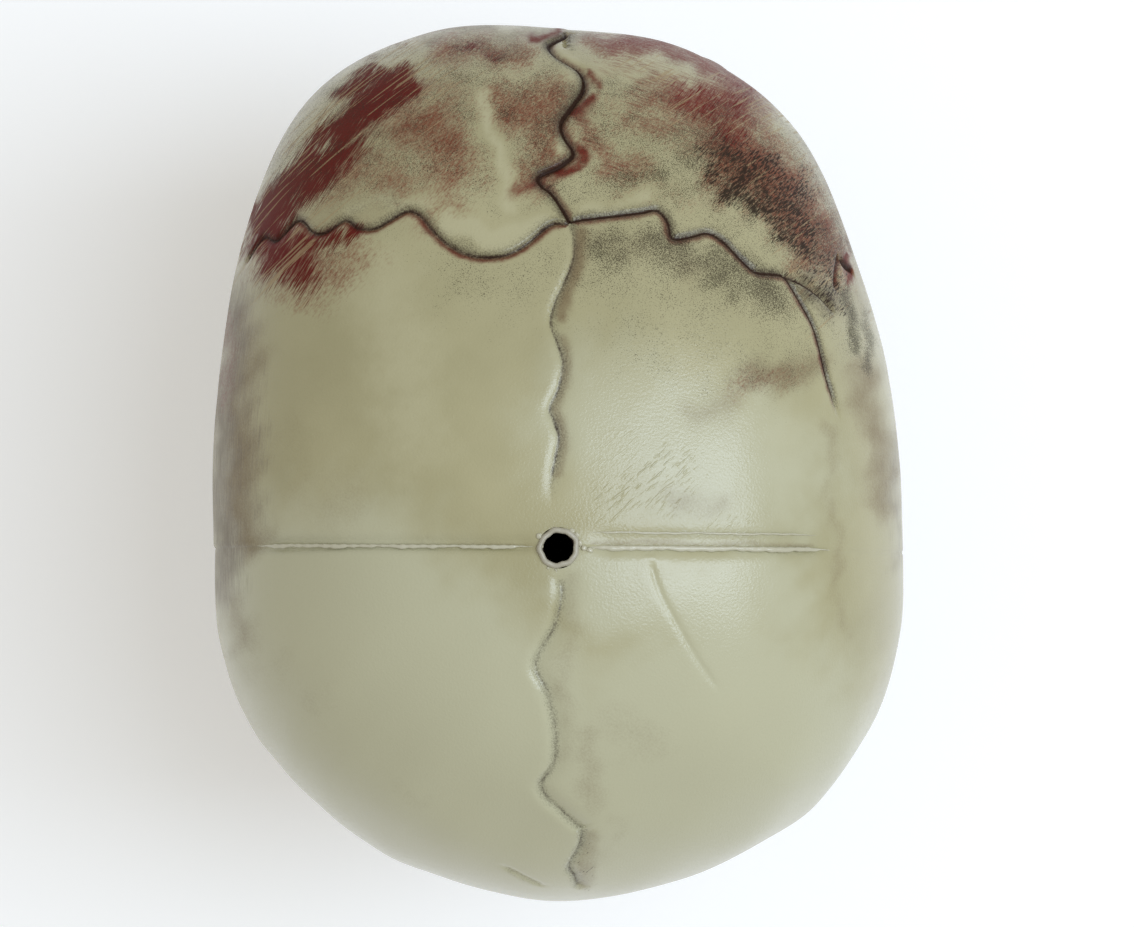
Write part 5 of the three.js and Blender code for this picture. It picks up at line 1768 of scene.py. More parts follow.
@dataclass(frozen=True)
class PaintedPlastic:
    """A moulded plastic under brushed and spattered acrylic paint: a waxy half gloss with orange peel."""

    name: str
    light: str
    dark: str
    coats: tuple[Coat, ...] = ()
    roughness: tuple[float, float] = (0.55, 0.7)
    peel: float = 0.5
    peel_height: float = 0.05
    gloss_roughness: float = 0.25
    cloud: float = 26.0
    cloud_levels: tuple[float, float] = (0.35, 0.65)
    gloss_levels: tuple[float, float] = (0.3, 0.7)
    refraction: float = 1.45
    specular: float = 0.12
    fold: float = 0.6
    fold_turn: float = 48.0
    fold_stretch: float = 0.14
    fold_levels: tuple[float, float] = (0.57, 0.7)
    fold_height: float = 0.1

    def build(self) -> bpy.types.Material:
        """Makes the material."""
        material, tree = new_material(self.name)
        place = add_node(tree, "ShaderNodeTexCoord").outputs["Object"]
        cloud = add_node(tree, "ShaderNodeTexNoise", {
            "Vector": place, "Scale": per_size(self.cloud), "Detail": 4.0}).outputs["Fac"]
        spread = add_node(tree, "ShaderNodeMapRange", {
            "Value": cloud, "From Min": self.cloud_levels[0], "From Max": self.cloud_levels[1]})
        colour = add_node(tree, "ShaderNodeMix", {
            "Factor": spread.outputs["Result"], "A": linear(self.dark), "B": linear(self.light)},
            data_type="RGBA").outputs[2]
        covers = []
        for coat in self.coats:
            colour, cover = coat.lay(tree, place, colour)
            if coat.matt:
                covers.append(cover)
        gloss = add_node(tree, "ShaderNodeMapRange", {
            "Value": cloud, "From Min": self.gloss_levels[0], "From Max": self.gloss_levels[1],
            "To Min": self.roughness[0], "To Max": self.roughness[1]})
        peel = add_node(tree, "ShaderNodeTexNoise", {
            "Vector": place, "Scale": per_size(self.peel), "Detail": 1.0})
        bumped = add_node(tree, "ShaderNodeBump", {
            "Height": peel.outputs["Fac"], "Distance": self.peel_height * MM, "Strength": 1.0})
        wrinkled = self._wrinkled(tree, place, bumped.outputs[0])
        shader = add_node(tree, "ShaderNodeBsdfPrincipled", {
            "Base Color": colour, "Roughness": gloss.outputs["Result"], "Normal": wrinkled,
            "IOR": self.refraction, "Specular IOR Level": self.specular, "Coat Weight": 1.0,
            "Coat Roughness": self.gloss_roughness, "Coat IOR": self.refraction, "Coat Normal": wrinkled})
        if covers:
            tree.links.new(self._bare(tree, covers), shader.inputs["Coat Weight"])
        add_node(tree, "ShaderNodeOutputMaterial", {"Surface": shader.outputs[0]})
        return material

    def _wrinkled(self, tree: Tree, place: NodeSocket, under: NodeSocket) -> NodeSocket:
        """The surface direction with fine folds added where the skin of the moulding is wrinkled."""
        turned = add_node(tree, "ShaderNodeVectorRotate", {
            "Vector": place, "Angle": math.radians(self.fold_turn)}, rotation_type="Z_AXIS")
        drawn = add_node(tree, "ShaderNodeMapping", {
            "Vector": turned.outputs[0], "Scale": (1, self.fold_stretch, 1)})
        folds = add_node(tree, "ShaderNodeTexNoise", {
            "Vector": drawn.outputs[0], "Scale": per_size(self.fold), "Detail": 1.0})
        where = add_node(tree, "ShaderNodeAttribute", attribute_name="wrinkle")
        crease = add_node(tree, "ShaderNodeMapRange", {
            "Value": folds.outputs["Fac"], "From Min": self.fold_levels[0], "From Max": self.fold_levels[1]})
        fold = add_node(tree, "ShaderNodeMath", {
            0: crease.outputs["Result"], 1: where.outputs["Fac"]}, operation="MULTIPLY")
        return add_node(tree, "ShaderNodeBump", {
            "Height": fold.outputs[0], "Distance": self.fold_height * MM, "Strength": 1.0,
            "Normal": under}).outputs[0]

    def _bare(self, tree: Tree, covers: Sequence[NodeSocket]) -> NodeSocket:
        """How far the glossy plastic shows between its matt coats, from 0 to 1."""
        most = covers[0]
        for cover in covers[1:]:
            most = add_node(tree, "ShaderNodeMath", {0: most, 1: cover}, operation="MAXIMUM").outputs[0]
        bare = add_node(tree, "ShaderNodeMath", {0: 1.0, 1: most}, operation="SUBTRACT", use_clamp=True)
        return bare.outputs[0]


@dataclass(frozen=True)
class TurnedMetal:
    """Zinc-plated steel: bright, with fine turning marks."""

    name: str = "zinc_plated_steel"
    colour: str = "#B9BBB8"
    roughness: tuple[float, float] = (0.26, 0.48)
    mark: float = 0.7
    mark_height: float = 0.02

    def build(self) -> bpy.types.Material:
        """Makes the material."""
        material, tree = new_material(self.name)
        place = add_node(tree, "ShaderNodeTexCoord").outputs["Object"]
        marks = add_node(tree, "ShaderNodeTexNoise", {
            "Vector": place, "Scale": per_size(self.mark), "Detail": 3.0}).outputs["Fac"]
        gloss = add_node(tree, "ShaderNodeMapRange", {
            "Value": marks, "To Min": self.roughness[0], "To Max": self.roughness[1]})
        bumped = add_node(tree, "ShaderNodeBump", {"Height": marks, "Distance": self.mark_height * MM})
        shader = add_node(tree, "ShaderNodeBsdfPrincipled", {
            "Base Color": linear(self.colour), "Metallic": 1.0, "Roughness": gloss.outputs["Result"],
            "Normal": bumped.outputs[0]})
        add_node(tree, "ShaderNodeOutputMaterial", {"Surface": shader.outputs[0]})
        return material


# Acrylic paint brushed on PVC: thin marks where the brush ran dry, specks where it was flicked. The pale coat
# is partly painted sheen, and the shade coat and the dark hollow coat are partly painted shade
COAT_STACK = (
    # Pale: a paler tone of the plastic, and painted sheen where the broad highlight lies on the crown
    Coat("pale", "#B9B79A", 16.0, breakup=0.5, patch=12, patchiness=0.5, start=0.2, full=1.0,
         opacity=0.75, matt=False),
    Coat("cream", "#B0AA86", 5.0, breakup=0.4, start=0.2, full=0.9, opacity=0.85, matt=False),
    Coat("brown", "#6B5239", 0.4, breakup=0.7, patch=9, patchiness=0.7, start=0.12, full=1.3,
         opacity=0.72),
    Coat("mauve", "#61544A", 0.5, stretch=12, turn=4, breakup=1.3, patch=11, patchiness=0.8, start=0.2,
         full=1.35, opacity=0.68),
    Coat("pink", "#74301F", 0.36, stretch=3, upright=3, breakup=1.6, patch=9, patchiness=0.9, start=0.12,
         full=1.25, opacity=0.86),
    Coat("red", "#5C0803", 0.22, stretch=24, upright=24, turn=33, breakup=2.2, patch=7, patchiness=1.3,
         start=0.24, full=0.9, opacity=0.97),
    Coat("streak", "#6E1A12", 0.36, stretch=9, upright=9, turn=-72, breakup=1.7, patch=7, patchiness=0.9,
         start=0.3, full=1.2, opacity=0.72),
    Coat("scratch", "#9F8A66", 0.42, stretch=44, upright=44, turn=50, detail=0.6, breakup=6.0, patch=7,
         patchiness=1.6, start=1.5, full=1.8, opacity=0.62),
    Coat("blush", "#640F08", 1.2, breakup=0.4, patch=5, patchiness=0.5, start=0.1, full=0.85,
         opacity=0.92),
    Coat("black", "#1E120C", 0.25, stretch=9, upright=7, turn=44, breakup=3.6, patch=5, patchiness=1.2,
         start=0.76, full=1.2, opacity=0.92),
    Coat("speckle", "#2E2518", 0.2, breakup=4.2, patch=6, patchiness=1.0, start=0.95, full=1.25,
         opacity=0.78),
    Coat("shade", "#30211A", 0.3, breakup=1.5, patch=5, patchiness=0.4, start=0.06, full=1.2,
         opacity=0.9),
    Coat("ink", "#2C190F", 0.6, breakup=0.4, patch=4, patchiness=0.7, start=0.1, full=0.6, opacity=0.96),
    # Dark brown in the hollows: paint in the sockets and nose, and painted shade deep in every hollow
    Coat("wash", "#241B15", 3.0, breakup=0.5, patch=7, patchiness=0.5, start=0.25, full=0.95,
         opacity=0.93),
)
COATS = (*(coat.attribute for coat in COAT_STACK), "wrinkle")


class Finish(Enum):
    """The materials, each named for what it is."""

    # Waxy cream-olive plastic that shines only where no paint lies, dry-brushed in dark red and black
    SHELL = PaintedPlastic("painted_moulded_pvc", "#A9A27C", "#9F9872", COAT_STACK)
    # The same plastic from another moulding, with darker clouds in it
    JAW = PaintedPlastic("painted_moulded_pvc_jaw", "#A8A27F", "#98916E", COAT_STACK)
    # Paler and smoother than the bone, with dark brown painted shade in the gaps and at the gum
    TOOTH = PaintedPlastic("moulded_pvc_teeth", "#BDB596", "#A89E7C", (
        Coat("grime", "#4A3526", 1.2, breakup=0.5, start=0.2, full=0.9, opacity=0.85),),
        (0.5, 0.65), 0.8, 0.02, 0.26)
    # The greyer unpainted tube, with a softer shine and painted shade down its bore
    BARE = PaintedPlastic("bare_cut_pvc", "#B4AE9C", "#A59F8C", (
        Coat("wash", "#2E211A", 2.0, breakup=0.4, start=0.2, full=0.7, opacity=0.97),),
        (0.5, 0.65), 0.5, 0.06, 0.34)
    # Pale, shiny scraps of plastic squeezed out of the seam
    FLASH = PaintedPlastic("moulding_flash_pvc", "#C2BEA8", "#B3AE95", (), (0.4, 0.55), 0.7, 0.04, 0.2)
    # Off-white and even, with a dull shine
    NYLON = PaintedPlastic("moulded_nylon", "#D5D1C4", "#CBC6B6", (), (0.5, 0.6), 0.5, 0.02, 0.4)
    # Bright grey metal whose fine marks break up what it mirrors
    STEEL = TurnedMetal()


MADE: dict[Finish, bpy.types.Material] = {}


def material_of(finish: Finish) -> bpy.types.Material:
    """A finish's material, made once."""
    if finish not in MADE:
        MADE[finish] = finish.value.build()
    return MADE[finish]


def sized_tree(name: str, inputs: dict[str, str]) -> tuple[Tree, bpy.types.Node]:
    """A Geometry Nodes tree with named inputs.

    Args:
        name: The tree's name.
        inputs: Each input's kind by its name, between the geometry and the material.

    Returns:
        The tree, and the node that gives its inputs.
    """
    tree = bpy.data.node_groups.new(name, "GeometryNodeTree")
    for title, kind in {"Geometry": "Geometry", **inputs, "Material": "Material"}.items():
        tree.interface.new_socket(title, in_out="INPUT", socket_type="NodeSocket" + kind)
    tree.interface.new_socket("Geometry", in_out="OUTPUT", socket_type="NodeSocketGeometry")
    return tree, add_node(tree, "NodeGroupInput")


def end_tree(tree: Tree, entry: bpy.types.Node, shape: NodeSocket) -> None:
    """Ends a tree: what it made becomes one mesh and takes the material."""
    real = add_node(tree, "GeometryNodeRealizeInstances", {"Geometry": shape})
    dressed = add_node(tree, "GeometryNodeSetMaterial", {
        "Geometry": real.outputs[0], "Material": entry.outputs["Material"]})
    add_node(tree, "NodeGroupOutput", {"Geometry": dressed.outputs[0]})


def grow(piece: Piece, tree: Tree, values: dict[str, object]) -> None:
    """Runs a tree on an object with its named inputs set, and applies it."""
    modifier = piece.modifiers.new(tree.name, "NODES")
    modifier.node_group = tree
    for socket in tree.interface.items_tree:
        if socket.in_out == "INPUT" and socket.name in values:
            modifier[socket.identifier] = values[socket.name]
    applied(piece)


@dataclass(frozen=True)
class SetOut:
    """Sets copies of small shapes out at points, as one mesh.

    Each point carries the number of its shape, its turn and its size.
    """

    name: str
    prototypes: tuple[Piece, ...]
    finish: Finish

    def tree(self) -> Tree:
        """Makes the node tree."""
        tree, entry = sized_tree(self.name, {shape.name: "Object" for shape in self.prototypes})
        shapes = add_node(tree, "GeometryNodeJoinGeometry")
        for shape in reversed(self.prototypes):
            info = add_node(tree, "GeometryNodeObjectInfo", {
                "Object": entry.outputs[shape.name], "As Instance": True})
            tree.links.new(info.outputs["Geometry"], shapes.inputs[0])
        kinds = {"turn": "FLOAT_VECTOR", "size": "FLOAT_VECTOR", "shape": "INT"}
        traits = {name: add_node(tree, "GeometryNodeInputNamedAttribute", {"Name": name}, data_type=kind)
                  for name, kind in kinds.items()}
        copies = add_node(tree, "GeometryNodeInstanceOnPoints", {
            "Points": entry.outputs["Geometry"], "Instance": shapes.outputs[0], "Pick Instance": True,
            "Instance Index": traits["shape"].outputs["Attribute"],
            "Rotation": traits["turn"].outputs["Attribute"], "Scale": traits["size"].outputs["Attribute"]})
        end_tree(tree, entry, copies.outputs[0])
        return tree

    def build(self, points: Array, turns: Array, sizes: Array, shapes: Sequence[int]) -> Piece:
        """Sets the copies out.

        Args:
            points: Their places in millimetres, one a row.
            turns: Their turns about each axis, in radians.
            sizes: Their sizes along each of their own axes, in millimetres.
            shapes: The number of each one's shape.

        Returns:
            The finished mesh object.
        """
        piece = mesh_object(self.name, points, [])
        keep(piece, "turn", turns, "FLOAT_VECTOR")
        keep(piece, "size", np.asarray(sizes) * MM, "FLOAT_VECTOR")
        keep(piece, "shape", shapes, "INT")
        values = {shape.name: shape for shape in self.prototypes}
        grow(piece, self.tree(), {**values, "Material": material_of(self.finish)})
        for shape in self.prototypes:
            discard(shape)
        return piece


def lathe(profile: Sequence[Pixel], sides: int) -> tuple[Array, list[list[int]]]:
    """A shape turned about the Z axis from a closed profile.

    Args:
        profile: Radius and height of each corner, in order.
        sides: Flats around it.

    Returns:
        The points and faces.
    """
    angles = 2 * np.pi * np.arange(sides) / sides
    rings = [
        np.stack([radius * np.cos(angles), radius * np.sin(angles), height + 0 * angles], 1)
        for radius, height in profile
    ]
    count = len(profile)
    faces = []
    for r in range(count):
        a, b = r * sides, ((r + 1) % count) * sides
        faces += [[a + i, a + (i + 1) % sides, b + (i + 1) % sides, b + i] for i in range(sides)]
    return np.vstack(rings), faces


@dataclass(frozen=True)
class ToothMould:
    """The four tooth shapes in a unit cube, with their biting end down."""

    cuts: int = 7
    roundness: float = 4.5
    biting_end: tuple[float, float] = (0.72, 0.98)
    neck: float = 0.84
    neck_end: float = 0.45
    lean: float = 0.1
    overlap: float = 1.05

    def build(self, kind: ToothKind) -> Piece:
        """Makes one shape, with painted shade where it meets its neighbours and the gum.

        Args:
            kind: The kind of tooth.

        Returns:
            The shape.
        """
        shape = bmesh.new()
        bmesh.ops.create_cube(shape, size=1.0)
        bmesh.ops.subdivide_edges(shape, edges=shape.edges[:], cuts=self.cuts, use_grid_fill=True)
        v, faces = emptied(shape)
        largest = np.abs(v).max(1)
        v *= (largest / ((np.abs(v) ** self.roundness).sum(1)) ** (1 / self.roundness))[:, None]
        edge = np.clip(0.5 - v[:, 2], 0, 1)
        x, y, z = v.T
        biting = smoothstep(*self.biting_end, edge)
        neck = self.neck + (1 - self.neck) * smoothstep(0.0, self.neck_end, edge)
        across, along = (np.sin(np.pi * np.clip(2 * np.abs(side), 0, 1)) for side in (x, y))
        if kind is ToothKind.INCISOR:
            y = y * (1 - 0.5 * edge**1.5) - self.lean * np.sin(np.pi * edge)
            x = x * (0.9 + 0.1 * edge)
        elif kind is ToothKind.CANINE:
            y = y * (1 - 0.35 * edge**1.5) - self.lean * np.sin(np.pi * edge)
            z = z + biting * (0.45 * np.abs(x) - 0.06)
            x = x * (1 - 0.22 * biting)
        elif kind is ToothKind.PREMOLAR:
            z = z - biting * (0.16 * along - 0.08)
        else:
            z = z - biting * (0.15 * across * along - 0.06)
        made = prototype(kind.name.lower(), np.stack([x * neck, y * neck, z], 1), faces)
        # Painted shade between neighbouring teeth and at the gum line
        between, at_gum = smoothstep(0.34, 0.5, np.abs(v[:, 0])), 1 - smoothstep(0.0, 0.4, edge)
        keep(made, "grime", np.clip(0.9 * between + 0.8 * at_gum, 0, 1))
        made.data.shade_smooth()
        return made

    def row(self, name: str, arch: DentalArch, edge: float, upwards: int) -> Piece:
        """Sets one row of teeth out along its arch.

        Args:
            name: The row's name.
            arch: The arch that it follows.
            edge: The level of the biting edges.
            upwards: 1 for the upper row, -1 for the lower.

        Returns:
            The row as one mesh.
        """
        places, turns, sizes, shapes = [], [], [], []
        for i, (at, out, width) in enumerate(TEETH.stations(arch)):
            for side in (1, -1):
                places.append([side * at[0], at[1], edge + upwards * TEETH.height / 2])
                heading = math.atan2(out[1], side * out[0]) + math.pi / 2
                turns.append([0 if upwards > 0 else math.pi, 0, heading])
                thickness = TEETH.thickness * TEETH.thickness_shares[i]
                sizes.append([self.overlap * width, thickness, TEETH.height])
                shapes.append(TEETH.kinds[i].value)
        copies = SetOut(name, tuple(self.build(kind) for kind in ToothKind), Finish.TOOTH)
        return copies.build(np.array(places), np.array(turns), np.array(sizes), shapes)


@dataclass(frozen=True)
class Hardware:
    """The hinge's screws, washers and spacers, each as a pair of copies."""

    screw_tip: float = 33.95
    head_face: float = 57.25
    head_height: float = 2.4
    head_radius: float = 4.2
    shank_radius: float = 2.0
    spacer: tuple[float, float, float] = (46.25, 1.2, 5.5)
    washer: tuple[float, float, float] = (56.05, 0.9, 5.4)
    bore: float = 2.3
    ease: float = 0.15
    tip: tuple[Pixel, ...] = ((0.01, 0.0), (1.2, 0.4), (2.0, 2.0))
    threads: int = 16
    first_thread: float = 2.2
    pitch: float = 0.75
    thread_depth: float = 0.35
    recess_half: tuple[float, float, float] = (2.4, 0.5, 1.2)
    sides: int = 48

    def pair(self, name: str, shape: Piece, x: float, finish: Finish) -> Piece:
        """Sets a shape out on both sides, its foot at a distance from the middle and its axis outwards."""
        points = np.array([HINGE.at(x), HINGE.at(-x)])
        turns = np.array([[0, math.pi / 2, 0], [0, -math.pi / 2, 0]])
        return SetOut(name, (shape,), finish).build(points, turns, np.ones((2, 3)), [0, 0])

    def ring(self, name: str, sizes: tuple[float, float, float], finish: Finish) -> Piece:
        """A pair of flat rings with softened edges."""
        start, thick, radius = sizes
        ease = self.ease
        profile = [
            (self.bore, ease), (self.bore + ease, 0), (radius - ease, 0), (radius, ease),
            (radius, thick - ease), (radius - ease, thick), (self.bore + ease, thick),
            (self.bore, thick - ease),
        ]
        points, faces = lathe(profile, self.sides)
        return self.pair(name, prototype(name + "_shape", points, faces), start, finish)

    def screws(self) -> Piece:
        """The pair of pan-head screws, threaded in the posts, with a cross recess."""
        shank = self.head_face - self.screw_tip
        top = shank + self.head_height
        r, outer, root = self.head_radius, self.shank_radius, self.shank_radius - self.thread_depth
        profile = list(self.tip)
        for i in range(self.threads):
            z = self.first_thread + i * self.pitch
            profile += [(outer, z), (root, z + 0.3), (root, z + 0.42)]
        profile += [
            (outer, self.first_thread + 0.2 + self.threads * self.pitch), (outer, shank), (r - 0.2, shank),
            (r, shank + 0.2), (r, shank + 0.9), (0.93 * r, shank + 1.5), (0.78 * r, shank + 2.0),
            (0.55 * r, top - 0.1), (0.01, top),
        ]
        points, faces = lathe(profile, self.sides)
        body = prototype("screw_shape", points * MM, faces)
        half = np.array(self.recess_half)
        for turn in (0, math.pi / 2):
            spin = np.array(Matrix.Rotation(turn, 3, "Z"))
            corners = box_points(-half, half) @ spin.T + [0, 0, top]
            cut(body, prototype("recess", corners * MM, BOX_FACES))
        body.data.transform(Matrix.Scale(1 / MM, 4))
        return self.pair("hinge_screws", body, self.screw_tip, Finish.STEEL)


@dataclass(frozen=True)
class CrownTube:
    """The short tube in the crown, with a collar under the shells and a rim that was cut by hand."""

    bore: float = 2.95
    radius: float = 4.0
    length: float = 14.0
    stand: float = 0.7
    collar_radius: float = 7.0
    collar_foot: float = 211.4
    collar_top: float = 213.5
    sides: int = 96

    def build(self) -> Piece:
        """Makes the tube."""
        top = OVERALL.height + self.stand
        foot = top - self.length
        profile = [
            (self.bore, foot), (self.radius, foot), (self.radius, self.collar_foot),
            (self.collar_radius, self.collar_foot), (self.collar_radius, self.collar_top),
            (self.radius, self.collar_top), (self.radius, top - 1.6), (self.radius + 0.12, top - 0.7),
            (self.radius - 0.1, top - 0.2), (self.radius - 0.4, top), (self.bore + 0.3, top - 0.05),
            (self.bore + 0.05, top - 0.35), (self.bore, top - 1.2), (self.bore, top - 2.4),
            (self.bore, top - 6),
        ]
        points, faces = lathe(profile, self.sides)
        angle = np.arctan2(points[:, 1], points[:, 0])
        rim = smoothstep(top - 3.0, top - 0.6, points[:, 2])
        wander = 0.13 * np.sin(2 * angle + 0.6) + 0.09 * np.sin(5 * angle + 2) + 0.07 * np.sin(9 * angle + 1)
        points[:, :2] *= (1 + rim * wander / np.hypot(points[:, 0], points[:, 1]))[:, None]
        points[:, 2] += rim * (0.1 * np.sin(3 * angle + 1) + 0.06 * np.sin(8 * angle))
        tube = mesh_object("crown_tube", points, faces)
        # Painted shade down the bore: dark deep inside, fading out towards the rim
        inner = np.hypot(points[:, 0], points[:, 1]) < self.bore + 0.3
        dark = inner * (1 - smoothstep(top - 1.6, top - 0.5, points[:, 2]))
        keep(tube, "wash", dark)
        return tube


@dataclass(frozen=True)
class SeamFlash:
    """A bead of flash left along the seam, drawn through a row of points with its own girth at each."""

    name: str
    start: float
    end: float
    ahead: float
    width: float
    thickness: float
    sink: float
    unevenness: float
    seed: float
    spacing: float = 2.0
    crown_curve: float = 0.006
    wander: float = 0.06
    least_girth: float = 0.15

    def tree(self) -> Tree:
        """Makes the node tree that turns the row of points into a bead."""
        tree, entry = sized_tree(self.name, {"Width": "Float", "Thickness": "Float"})
        curve = add_node(tree, "GeometryNodeMeshToCurve", {"Mesh": entry.outputs["Geometry"]})
        upright = add_node(tree, "GeometryNodeSetCurveNormal", {"Curve": curve.outputs[0]}, mode="Z_UP")
        girth = add_node(tree, "GeometryNodeInputNamedAttribute", {"Name": "girth"}, data_type="FLOAT")
        sized = add_node(tree, "GeometryNodeSetCurveRadius", {
            "Curve": upright.outputs[0], "Radius": girth.outputs["Attribute"]})
        circle = add_node(tree, "GeometryNodeCurvePrimitiveCircle", {"Resolution": 12, "Radius": 1.0})
        half = add_node(tree, "ShaderNodeCombineXYZ", {
            "X": entry.outputs["Width"], "Y": entry.outputs["Thickness"], "Z": 1.0})
        section = add_node(tree, "GeometryNodeTransform", {
            "Geometry": circle.outputs[0], "Scale": half.outputs[0]})
        swept = add_node(tree, "GeometryNodeCurveToMesh", {
            "Curve": sized.outputs[0], "Profile Curve": section.outputs[0], "Fill Caps": True,
            "Scale": girth.outputs["Attribute"]})
        smooth = add_node(tree, "GeometryNodeSetShadeSmooth", {"Geometry": swept.outputs[0]})
        end_tree(tree, entry, smooth.outputs[0])
        return tree

    def build(self) -> Piece:
        """Makes the bead along the seam's surface."""
        columns = np.arange(self.start, self.end, math.copysign(self.spacing, self.end - self.start))
        x = (CAMERA.crown[0] - columns) / CAMERA.pixels_per_mm
        guess = np.stack([x, 0 * x, 0 * x + OVERALL.height], 1)
        guess[:, 2] -= self.crown_curve * x**2
        route = settle(CRANIUM.form, guess, -self.sink, 40)
        way = self.seed + columns / 11
        sway = np.sin(way) + 0.7 * np.sin(2.3 * way + 1) + 0.6 * np.sin(4.9 * way + 2)
        route[:, 1] = self.ahead + self.wander * sway
        number = np.arange(len(x))
        ends = smoothstep(0, 10, number) * smoothstep(0, 14, number[::-1])
        girth = (0.12 + 0.88 * ends) * (1 + self.unevenness * (0.5 * sway + 0.5 * np.sin(7.7 * way)))
        bead = mesh_object(self.name, route, [], [(i, i + 1) for i in range(len(route) - 1)])
        keep(bead, "girth", np.maximum(girth, self.least_girth))
        grow(bead, self.tree(), {
            "Width": self.width * MM, "Thickness": self.thickness * MM,
            "Material": material_of(Finish.FLASH)})
        return bead


FLASHES = (
    SeamFlash("seam_bead_left", start=536, end=268, ahead=-0.15, width=0.36, thickness=0.32, sink=0.3,
              unevenness=0.35, seed=0.4),
    SeamFlash("seam_ridge_right", start=582, end=812, ahead=-0.1, width=0.5, thickness=0.42, sink=0.32,
              unevenness=0.2, seed=2.2),
    SeamFlash("seam_edge_right", start=590, end=796, ahead=-3.1, width=0.2, thickness=0.16, sink=0.02,
              unevenness=0.2, seed=5.1),
)


@dataclass(frozen=True)
class FlashCrumbs:
    """Small crumbs of flash left round the crown tube, each by its pixel and size."""

    crumbs: tuple[tuple[float, float, float], ...] = (
        (539, 536, 1.0), (541, 546, 0.75), (538, 551, 0.6), (572, 531, 0.9), (577, 535, 0.7),
        (580, 543, 1.1), (584, 548, 0.9), (590, 550, 0.8), (556, 570, 0.55), (548, 568, 0.45),
    )
    size: float = 0.62

    def build(self) -> Piece:
        """Sets the crumbs out on the shell."""
        shape = bmesh.new()
        bmesh.ops.create_icosphere(shape, subdivisions=3, radius=1.0)
        v, faces = emptied(shape)
        lumps = 1 + 0.16 * np.sin(3.1 * v[:, 0] + 1) * np.sin(2.7 * v[:, 1] + 4 * v[:, 2])
        places = CAMERA.on_form(CRANIUM.form, [crumb[:2] for crumb in self.crumbs])
        scale = self.size * np.array([crumb[2] for crumb in self.crumbs])
        number = np.arange(len(scale))
        sizes = np.stack([scale * (1 + 0.4 * np.sin(2.1 * number)), scale, 0.7 * scale], 1)
        turns = np.stack([0 * scale, 0.2 * np.sin(number), 1.3 * number], 1)
        crumb = prototype("crumb", v * lumps[:, None], faces)
        copies = SetOut("flash_crumbs", (crumb,), Finish.FLASH)
        return copies.build(places, turns, sizes, [0] * len(scale))


# The scene


@dataclass(frozen=True)
class Studio:
    """A pale floor that shows white to the camera, and soft light from the skull's right-hand side."""

    floor_half: float = 30.0
    paper: str = "#FCFCFB"
    lift: float = 0.14
    lamp_place: tuple[float, float, float] = (-0.58, -0.02, 1.16)
    lamp_target: tuple[float, float, float] = (0.0, 0.0, 0.15)
    lamp_size: tuple[float, float] = (0.46, 0.95)
    lamp_power: float = 9.0
    lamp_colour: str = "#DDECFF"
    ambient: float = 0.6
    ambient_colour: str = "#FFFDF8"

    def shown(self, tree: Tree, strength: float) -> NodeSocket:
        """A strength with a lift added where it is seen directly, in a gloss or through glass."""
        rays = add_node(tree, "ShaderNodeLightPath")
        seen = rays.outputs["Is Camera Ray"]
        for kind in ("Is Glossy Ray", "Is Transmission Ray"):
            both = add_node(tree, "ShaderNodeMath", {0: seen, 1: rays.outputs[kind]}, operation="ADD")
            seen = both.outputs[0]
        lifted = add_node(tree, "ShaderNodeMath", {0: seen, 1: self.lift, 2: strength},
                          operation="MULTIPLY_ADD")
        return lifted.outputs[0]

    def floor(self) -> None:
        """Lays the floor."""
        half = np.array([self.floor_half, self.floor_half, 0])
        floor = prototype("floor", box_points(-half, half)[:4], [(0, 1, 3, 2)])
        paper, tree = new_material("white_paper")
        matt = add_node(tree, "ShaderNodeBsdfDiffuse", {"Color": linear(self.paper)})
        glow = add_node(tree, "ShaderNodeEmission", {
            "Color": linear("#FFFFFF"), "Strength": self.shown(tree, 0.0)})
        both = add_node(tree, "ShaderNodeAddShader", {0: matt.outputs[0], 1: glow.outputs[0]})
        add_node(tree, "ShaderNodeOutputMaterial", {"Surface": both.outputs[0]})
        floor.data.materials.append(paper)

    def softbox(self) -> None:
        """Hangs the lamp."""
        lamp = bpy.data.lights.new("softbox", "AREA")
        lamp.shape = "RECTANGLE"
        lamp.size, lamp.size_y = self.lamp_size
        lamp.energy = self.lamp_power
        lamp.color = linear(self.lamp_colour)[:3]
        softbox = placed("softbox", lamp)
        softbox.location = self.lamp_place
        aim = Vector(self.lamp_target) - Vector(self.lamp_place)
        softbox.rotation_euler = aim.to_track_quat("-Z", "Y").to_euler()
        softbox.visible_camera = False

    def surroundings(self) -> None:
        """Lights the skull evenly from all round."""
        world = bpy.data.worlds.new("studio")
        bpy.context.scene.world = world
        world.use_nodes = True
        tree = world.node_tree
        tree.nodes.clear()
        ambient = add_node(tree, "ShaderNodeBackground", {
            "Color": linear(self.ambient_colour), "Strength": self.shown(tree, self.ambient)})
        add_node(tree, "ShaderNodeOutputWorld", {"Surface": ambient.outputs[0]})


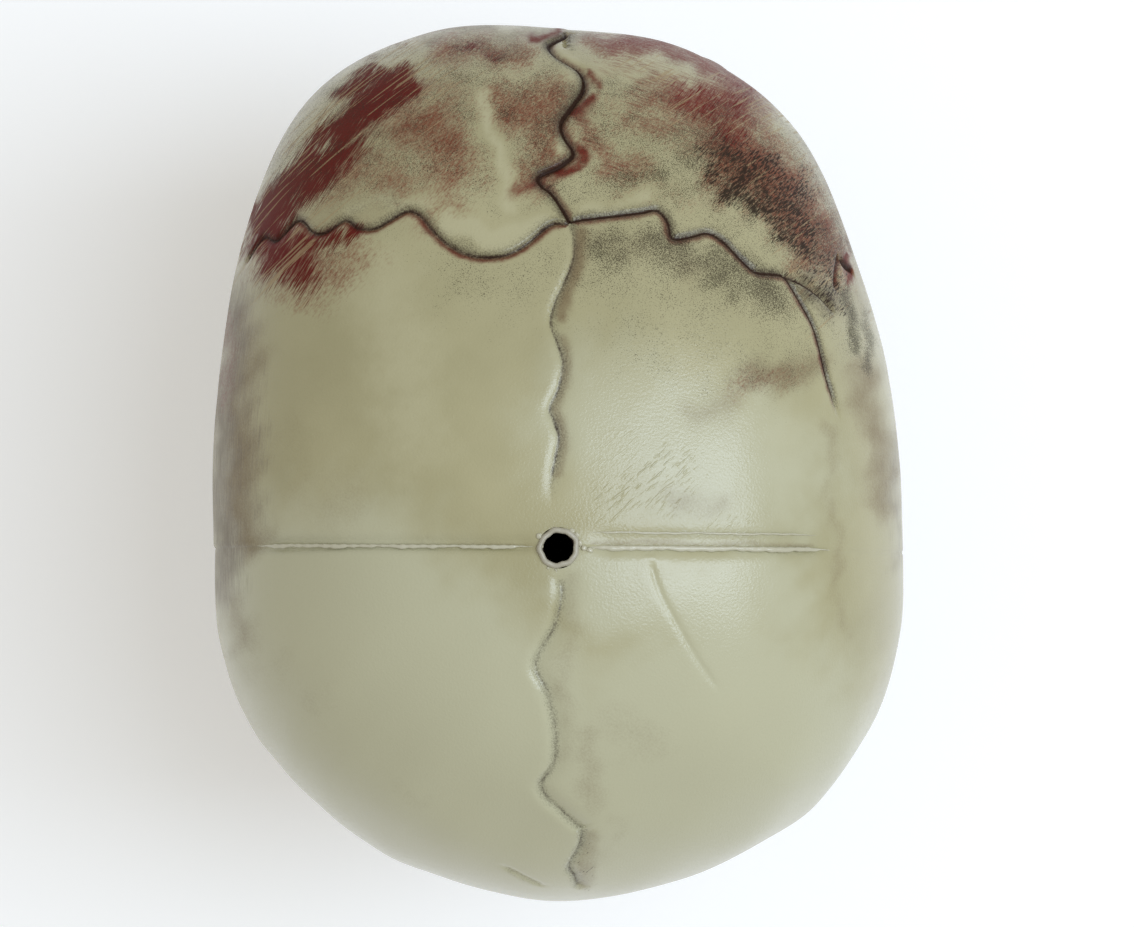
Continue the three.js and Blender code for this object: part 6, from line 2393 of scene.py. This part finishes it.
def finished(piece: Piece, body: str, finish: Finish | None, nodes: Sequence[str]) -> None:
    """Dresses a piece and gives it its place in the frame.

    Args:
        piece: The piece.
        body: The body that it moves with.
        finish: Its finish, or None where it has one already.
        nodes: The solids that it stands for.
    """
    if finish:
        piece.data.materials.clear()
        piece.data.materials.append(material_of(finish))
    piece.data.shade_smooth()
    piece.data.set_sharp_from_angle(angle=SHARP_ANGLE)
    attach(piece, body)
    if nodes:
        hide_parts(*nodes)
    log.info("%s: %d faces", piece.name, len(piece.data.polygons))


def main() -> None:
    """Builds and dresses the skull."""
    logging.basicConfig(level=logging.INFO, format="%(name)s: %(message)s")
    bpy.context.scene.view_settings.view_transform = "Standard"
    CAMERA.build()
    studio = Studio()
    studio.floor()
    studio.softbox()
    studio.surroundings()
    lines = Lines(CRANIUM.form)
    painter = Painter(CRANIUM.form, lines)
    face, rear = Shells().build(lines)
    for shell, node in ((face, "face_shell"), (rear, "rear_shell")):
        painter.paint(shell)
        finished(shell, "skull", Finish.SHELL, [node])
    jaw = Jaw()
    moulding = jaw.build()
    Painter(jaw.form).paint(moulding)
    finished(moulding, "jaw", Finish.JAW, ["lower_jaw"])
    mould = ToothMould()
    finished(mould.row("upper_teeth", UPPER_ARCH, TEETH.bite, 1), "skull", None, [])
    lower_edge = TEETH.bite - TEETH.bite_gap
    finished(mould.row("lower_teeth", LOWER_ARCH, lower_edge, -1), "jaw", None, [])
    finished(CrownTube().build(), "skull", Finish.BARE, ["crown_bush"])
    for flash in (*FLASHES, FlashCrumbs()):
        finished(flash.build(), "skull", None, [])
    hardware = Hardware()
    sides = ("left", "right")
    finished(hardware.screws(), "skull", None, [f"jaw_screw_{side}" for side in sides])
    washers = hardware.ring("hinge_washers", hardware.washer, Finish.STEEL)
    finished(washers, "skull", None, [f"jaw_washer_{side}" for side in sides])
    spacers = hardware.ring("hinge_spacers", hardware.spacer, Finish.NYLON)
    finished(spacers, "skull", None, [f"jaw_spacer_{side}" for side in sides])


if __name__ == "__main__":
    main()
